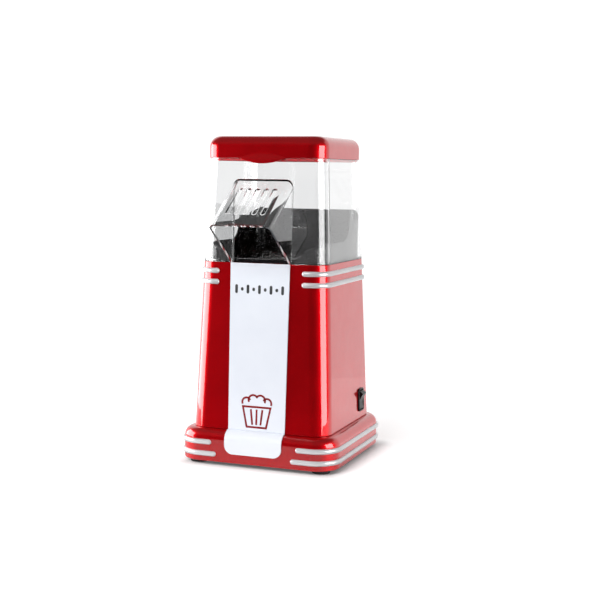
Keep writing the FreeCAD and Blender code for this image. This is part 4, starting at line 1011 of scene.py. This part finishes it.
def make_cord_gland():
    """Flanged grommet in the rear wall."""
    low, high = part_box("cord_gland")
    centre = (low + high) / 2
    place = Matrix.Translation((centre.x, high.y, centre.z)) @ Matrix.Rotation(math.radians(-90), 4, "X")
    outline = [(0.0035, -0.0144), (0.0035, -0.0008)]
    outline += arc((0.0043, -0.0008), 0.0008, 180, 90, 4)
    outline += arc((0.0080, -0.0010), 0.0010, 90, 0, 5)
    outline += [(0.0090, -0.0025), (0.0064, -0.0025), (0.0064, -0.0144)]
    turned_piece("cord_grommet", outline, place, "casing", SWITCH_BLACK, ["cord_gland"])


# ---- print on the white strip ----
def ink_back(z):
    """Depth at which ink starts, just under the strip's face."""
    return -body_half(z) - STRIP_PROUD + INK_SUNK


def print_patch(bm, outline):
    """Raised patch of ink on the leaning front strip, from an (x, z) outline."""
    back = [Vector((x, ink_back(z), z)) for x, z in outline]
    prism(bm, back, Vector((0.0, -INK_HEIGHT, 0.0)))


def stroke(bm, points, width, closed=False):
    """Band of even width along (x, z) points, laid as one patch per segment with mitred joins."""
    count = len(points)
    left = []
    right = []
    for k, (x, z) in enumerate(points):
        before = points[k - 1] if closed or k > 0 else points[k]
        after = points[(k + 1) % count] if closed or k < count - 1 else points[k]
        first = Vector((x - before[0], z - before[1]))
        second = Vector((after[0] - x, after[1] - z))
        first = first.normalized() if first.length > 0 else second.normalized()
        second = second.normalized() if second.length > 0 else first
        normal = Vector((-first.y - second.y, first.x + second.x)).normalized()
        reach = width / 2 / max(0.4, normal.dot(Vector((-first.y, first.x))))
        left.append((x + normal.x * reach, z + normal.y * reach))
        right.append((x - normal.x * reach, z - normal.y * reach))
    rows = []
    for (lx, lz), (rx, rz) in zip(left, right):
        section = []
        for x, z, lift in ((lx, lz, 0.0), (rx, rz, 0.0), (rx, rz, 1.0), (lx, lz, 1.0)):
            section.append(Vector((x, ink_back(z) - lift * INK_HEIGHT, z)))
        rows.append(section)
    loft(bm, rows, closed=closed, cap_start=not closed, cap_end=not closed)


def make_dial_marks():
    """Row of rounded dashes and dots near the top of the strip."""
    bm = bmesh.new()
    mid_z = 0.1625
    pitch = 0.0056
    r = 0.0013
    dash_half, dot_half = 0.0040, 0.0016
    for k in range(9):
        x = (k - 4) * pitch
        rise = (dash_half if k % 2 == 0 else dot_half) - r
        outline = [(x + u, mid_z + rise + v) for u, v in arc((0.0, 0.0), r, 0, 180, 10)]
        outline += [(x + u, mid_z - rise + v) for u, v in arc((0.0, 0.0), r, 180, 360, 10)]
        print_patch(bm, outline)
    obj = mesh_object("strip_marks", bm)
    return finish_piece(obj, "casing", PRINT_GREY, sharp=40.0)


def make_carton_mark():
    """Plain line drawing of a striped carton with puffs above it, low on the strip."""
    bm = bmesh.new()
    foot_z, rim_z = 0.0375, 0.0560
    foot_x, rim_x = 0.0095, 0.0135
    line = 0.0018
    stroke(bm, [(-foot_x, foot_z), (foot_x, foot_z), (rim_x, rim_z), (-rim_x, rim_z)], line, closed=True)
    gap = 0.0022
    for share in (-0.42, 0.0, 0.42):
        stroke(bm, [(foot_x * share, foot_z + gap), (rim_x * share, rim_z - gap)], line)
    puffs = ((-0.0100, 0.0600, 0.0042), (-0.0035, 0.0622, 0.0046),
             (0.0035, 0.0622, 0.0046), (0.0100, 0.0600, 0.0042))
    for x, z, r in puffs:
        stroke(bm, arc((x, z), r, 205 if x < 0 else 150, 30 if x < 0 else -25, 12), line)
    obj = mesh_object("strip_carton_mark", bm)
    return finish_piece(obj, "casing", PRINT_RED, sharp=40.0)


# ---- stage ----
def area_light(name, radiance, size, place, aim):
    """White rectangular light of even radiance that faces aim."""
    data = bpy.data.lights.new(name, "AREA")
    data.shape = "RECTANGLE"
    data.size, data.size_y = size
    data.energy = radiance * math.pi * size[0] * size[1]
    obj = bpy.data.objects.new(name, data)
    bpy.context.scene.collection.objects.link(obj)
    obj.location = place
    obj.rotation_euler = (Vector(aim) - Vector(place)).to_track_quat("-Z", "Y").to_euler()
    return obj


def make_floor():
    """White table top whose glow is painted light, like paper lit from below: weak next to the part as a
    painted contact shadow, stronger away from it, and fading in reflections.
    """
    bm = bmesh.new()
    bm.faces.new([bm.verts.new((x, y, 0.0)) for x, y in FLOOR_CORNERS])
    floor = mesh_object("floor", bm)
    f = Finish("floor_white", Emission_Color=(1.0, 1.0, 1.0, 1.0))
    f.colour(f.blend(f.remap(f.noise(3.0, 3.0), 0.0, 1.0), (0.78, 0.78, 0.78), (0.82, 0.82, 0.82)))
    f.roughness(f.remap(f.noise(40.0, 3.0), 0.75, 0.9))
    away = f.vector("SUBTRACT", f.vector("ABSOLUTE", f.place), (SHADE_HALF, SHADE_HALF, 0.0))
    reach = f.vector("LENGTH", f.vector("MAXIMUM", away, (0.0, 0.0, 0.0)))
    # Glow is low within a few millimetres of the footprint and rises outwards: painted contact shadow, then
    # painted light.
    glow = maths(f.tree, "ADD", f.remap(reach, *NEAR_GLOW_PAINTED_SHADOW), f.remap(reach, *FAR_GLOW))
    path = f.tree.nodes.new("ShaderNodeLightPath")
    share = maths(f.tree, "MAXIMUM", f.remap(f.axis("Y"), *FRONT_FADE), path.outputs["Is Camera Ray"])
    f.link(maths(f.tree, "MULTIPLY", glow, share), f.shader, "Emission Strength")
    floor.data.materials.append(f.material)


def make_world():
    """Bright low backdrop behind the part, dim room elsewhere, plain white where the camera sees it."""
    world = bpy.data.worlds.new("studio")
    bpy.context.scene.world = world
    world.use_nodes = True
    tree = world.node_tree
    tree.nodes.clear()
    place = tree.nodes.new("ShaderNodeTexCoord").outputs["Generated"]
    split = tree.nodes.new("ShaderNodeSeparateXYZ")
    tree.links.new(place, split.inputs[0])

    def ramp(axis, span, low, high):
        node = tree.nodes.new("ShaderNodeMapRange")
        node.interpolation_type = "SMOOTHSTEP"
        sockets = ("From Min", "From Max", "To Min", "To Max")
        for socket, value in zip(sockets, (*span, low, high)):
            node.inputs[socket].default_value = value
        tree.links.new(split.outputs[axis], node.inputs["Value"])
        return node.outputs["Result"]

    wall = maths(tree, "MULTIPLY", ramp("Y", BACKDROP_SPAN, 0.0, 1.0), ramp("Z", BACKDROP_TOP, 1.0, 0.0))
    room = ramp("Z", ROOM_SPAN, ROOM_LIGHT, TOP_LIGHT)
    strength = maths(tree, "ADD", room, maths(tree, "MULTIPLY", wall, BACKDROP_LIGHT))

    # Rays that come straight through clear plastic see one even light; those that bounced inside it see less.
    path = tree.nodes.new("ShaderNodeLightPath")
    straight = maths(tree, "LESS_THAN", path.outputs["Glossy Depth"], 0.5)
    clean = maths(tree, "LESS_THAN", path.outputs["Diffuse Depth"], 0.5)
    passed = maths(tree, "MULTIPLY", path.outputs["Is Transmission Ray"], clean)
    clear = maths(tree, "MULTIPLY", passed, straight)
    strength = maths(tree, "MAXIMUM", strength, maths(tree, "MULTIPLY", passed, INNER_LIGHT))
    strength = maths(tree, "MULTIPLY", strength, maths(tree, "SUBTRACT", 1.0, clear))
    strength = maths(tree, "ADD", strength, maths(tree, "MULTIPLY", clear, SEEN_THROUGH))
    strength = maths(tree, "MAXIMUM", strength, path.outputs["Is Camera Ray"])

    back = tree.nodes.new("ShaderNodeBackground")
    back.inputs["Color"].default_value = (1.0, 1.0, 1.0, 1.0)
    tree.links.new(strength, back.inputs["Strength"])
    out = tree.nodes.new("ShaderNodeOutputWorld")
    tree.links.new(back.outputs[0], out.inputs["Surface"])


def make_camera():
    """Camera to the right of the front and a little above, with a slight roll."""
    yaw, pitch, roll = (math.radians(a) for a in CAMERA_ANGLES)
    forward = Vector((-math.sin(yaw) * math.cos(pitch), math.cos(yaw) * math.cos(pitch), -math.sin(pitch)))
    level = Vector((math.cos(yaw), math.sin(yaw), 0.0))
    up = level.cross(forward)
    right = math.cos(roll) * level + math.sin(roll) * up
    top = -math.sin(roll) * level + math.cos(roll) * up
    data = bpy.data.cameras.new("camera")
    data.lens = CAMERA_LENS
    data.sensor_width = CAMERA_SENSOR
    camera = bpy.data.objects.new("camera", data)
    bpy.context.scene.collection.objects.link(camera)
    turn = Matrix((right, top, -forward)).transposed().to_4x4()
    camera.matrix_world = Matrix.Translation(CAMERA_TARGET - forward * CAMERA_DISTANCE) @ turn
    bpy.context.scene.camera = camera


dress_frame()
make_main_housing()
make_base_skirt()
for band in ("body_band_upper", "body_band_lower"):
    band_low, band_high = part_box(band)
    make_band(band, body_half((band_low.z + band_high.z) / 2), BODY_CORNER_R, BODY_SLOPE)
for band in ("base_band_upper", "base_band_lower"):
    make_band(band, BASE_HALF, BASE_CORNER_R, 0.0)
make_front_strip()
make_base_strip()
make_bowl_guard()
make_clear_cover()
make_chute_hood()
make_lid()
make_switch_housing()
make_switch_rocker()
make_feet()
make_cord_gland()
make_dial_marks()
make_carton_mark()

make_floor()
make_world()
for name, size, place, aim in SOFTBOXES:
    area_light(name, SOFTBOX_LIGHT, size, place, aim).visible_diffuse = False
area_light("front_fill", FILL_LIGHT, FILL_SIZE, FILL_PLACE, FILL_AIM).visible_glossy = False
make_camera()
view = bpy.context.scene.view_settings
view.view_transform = "Standard"
view.look = "None"
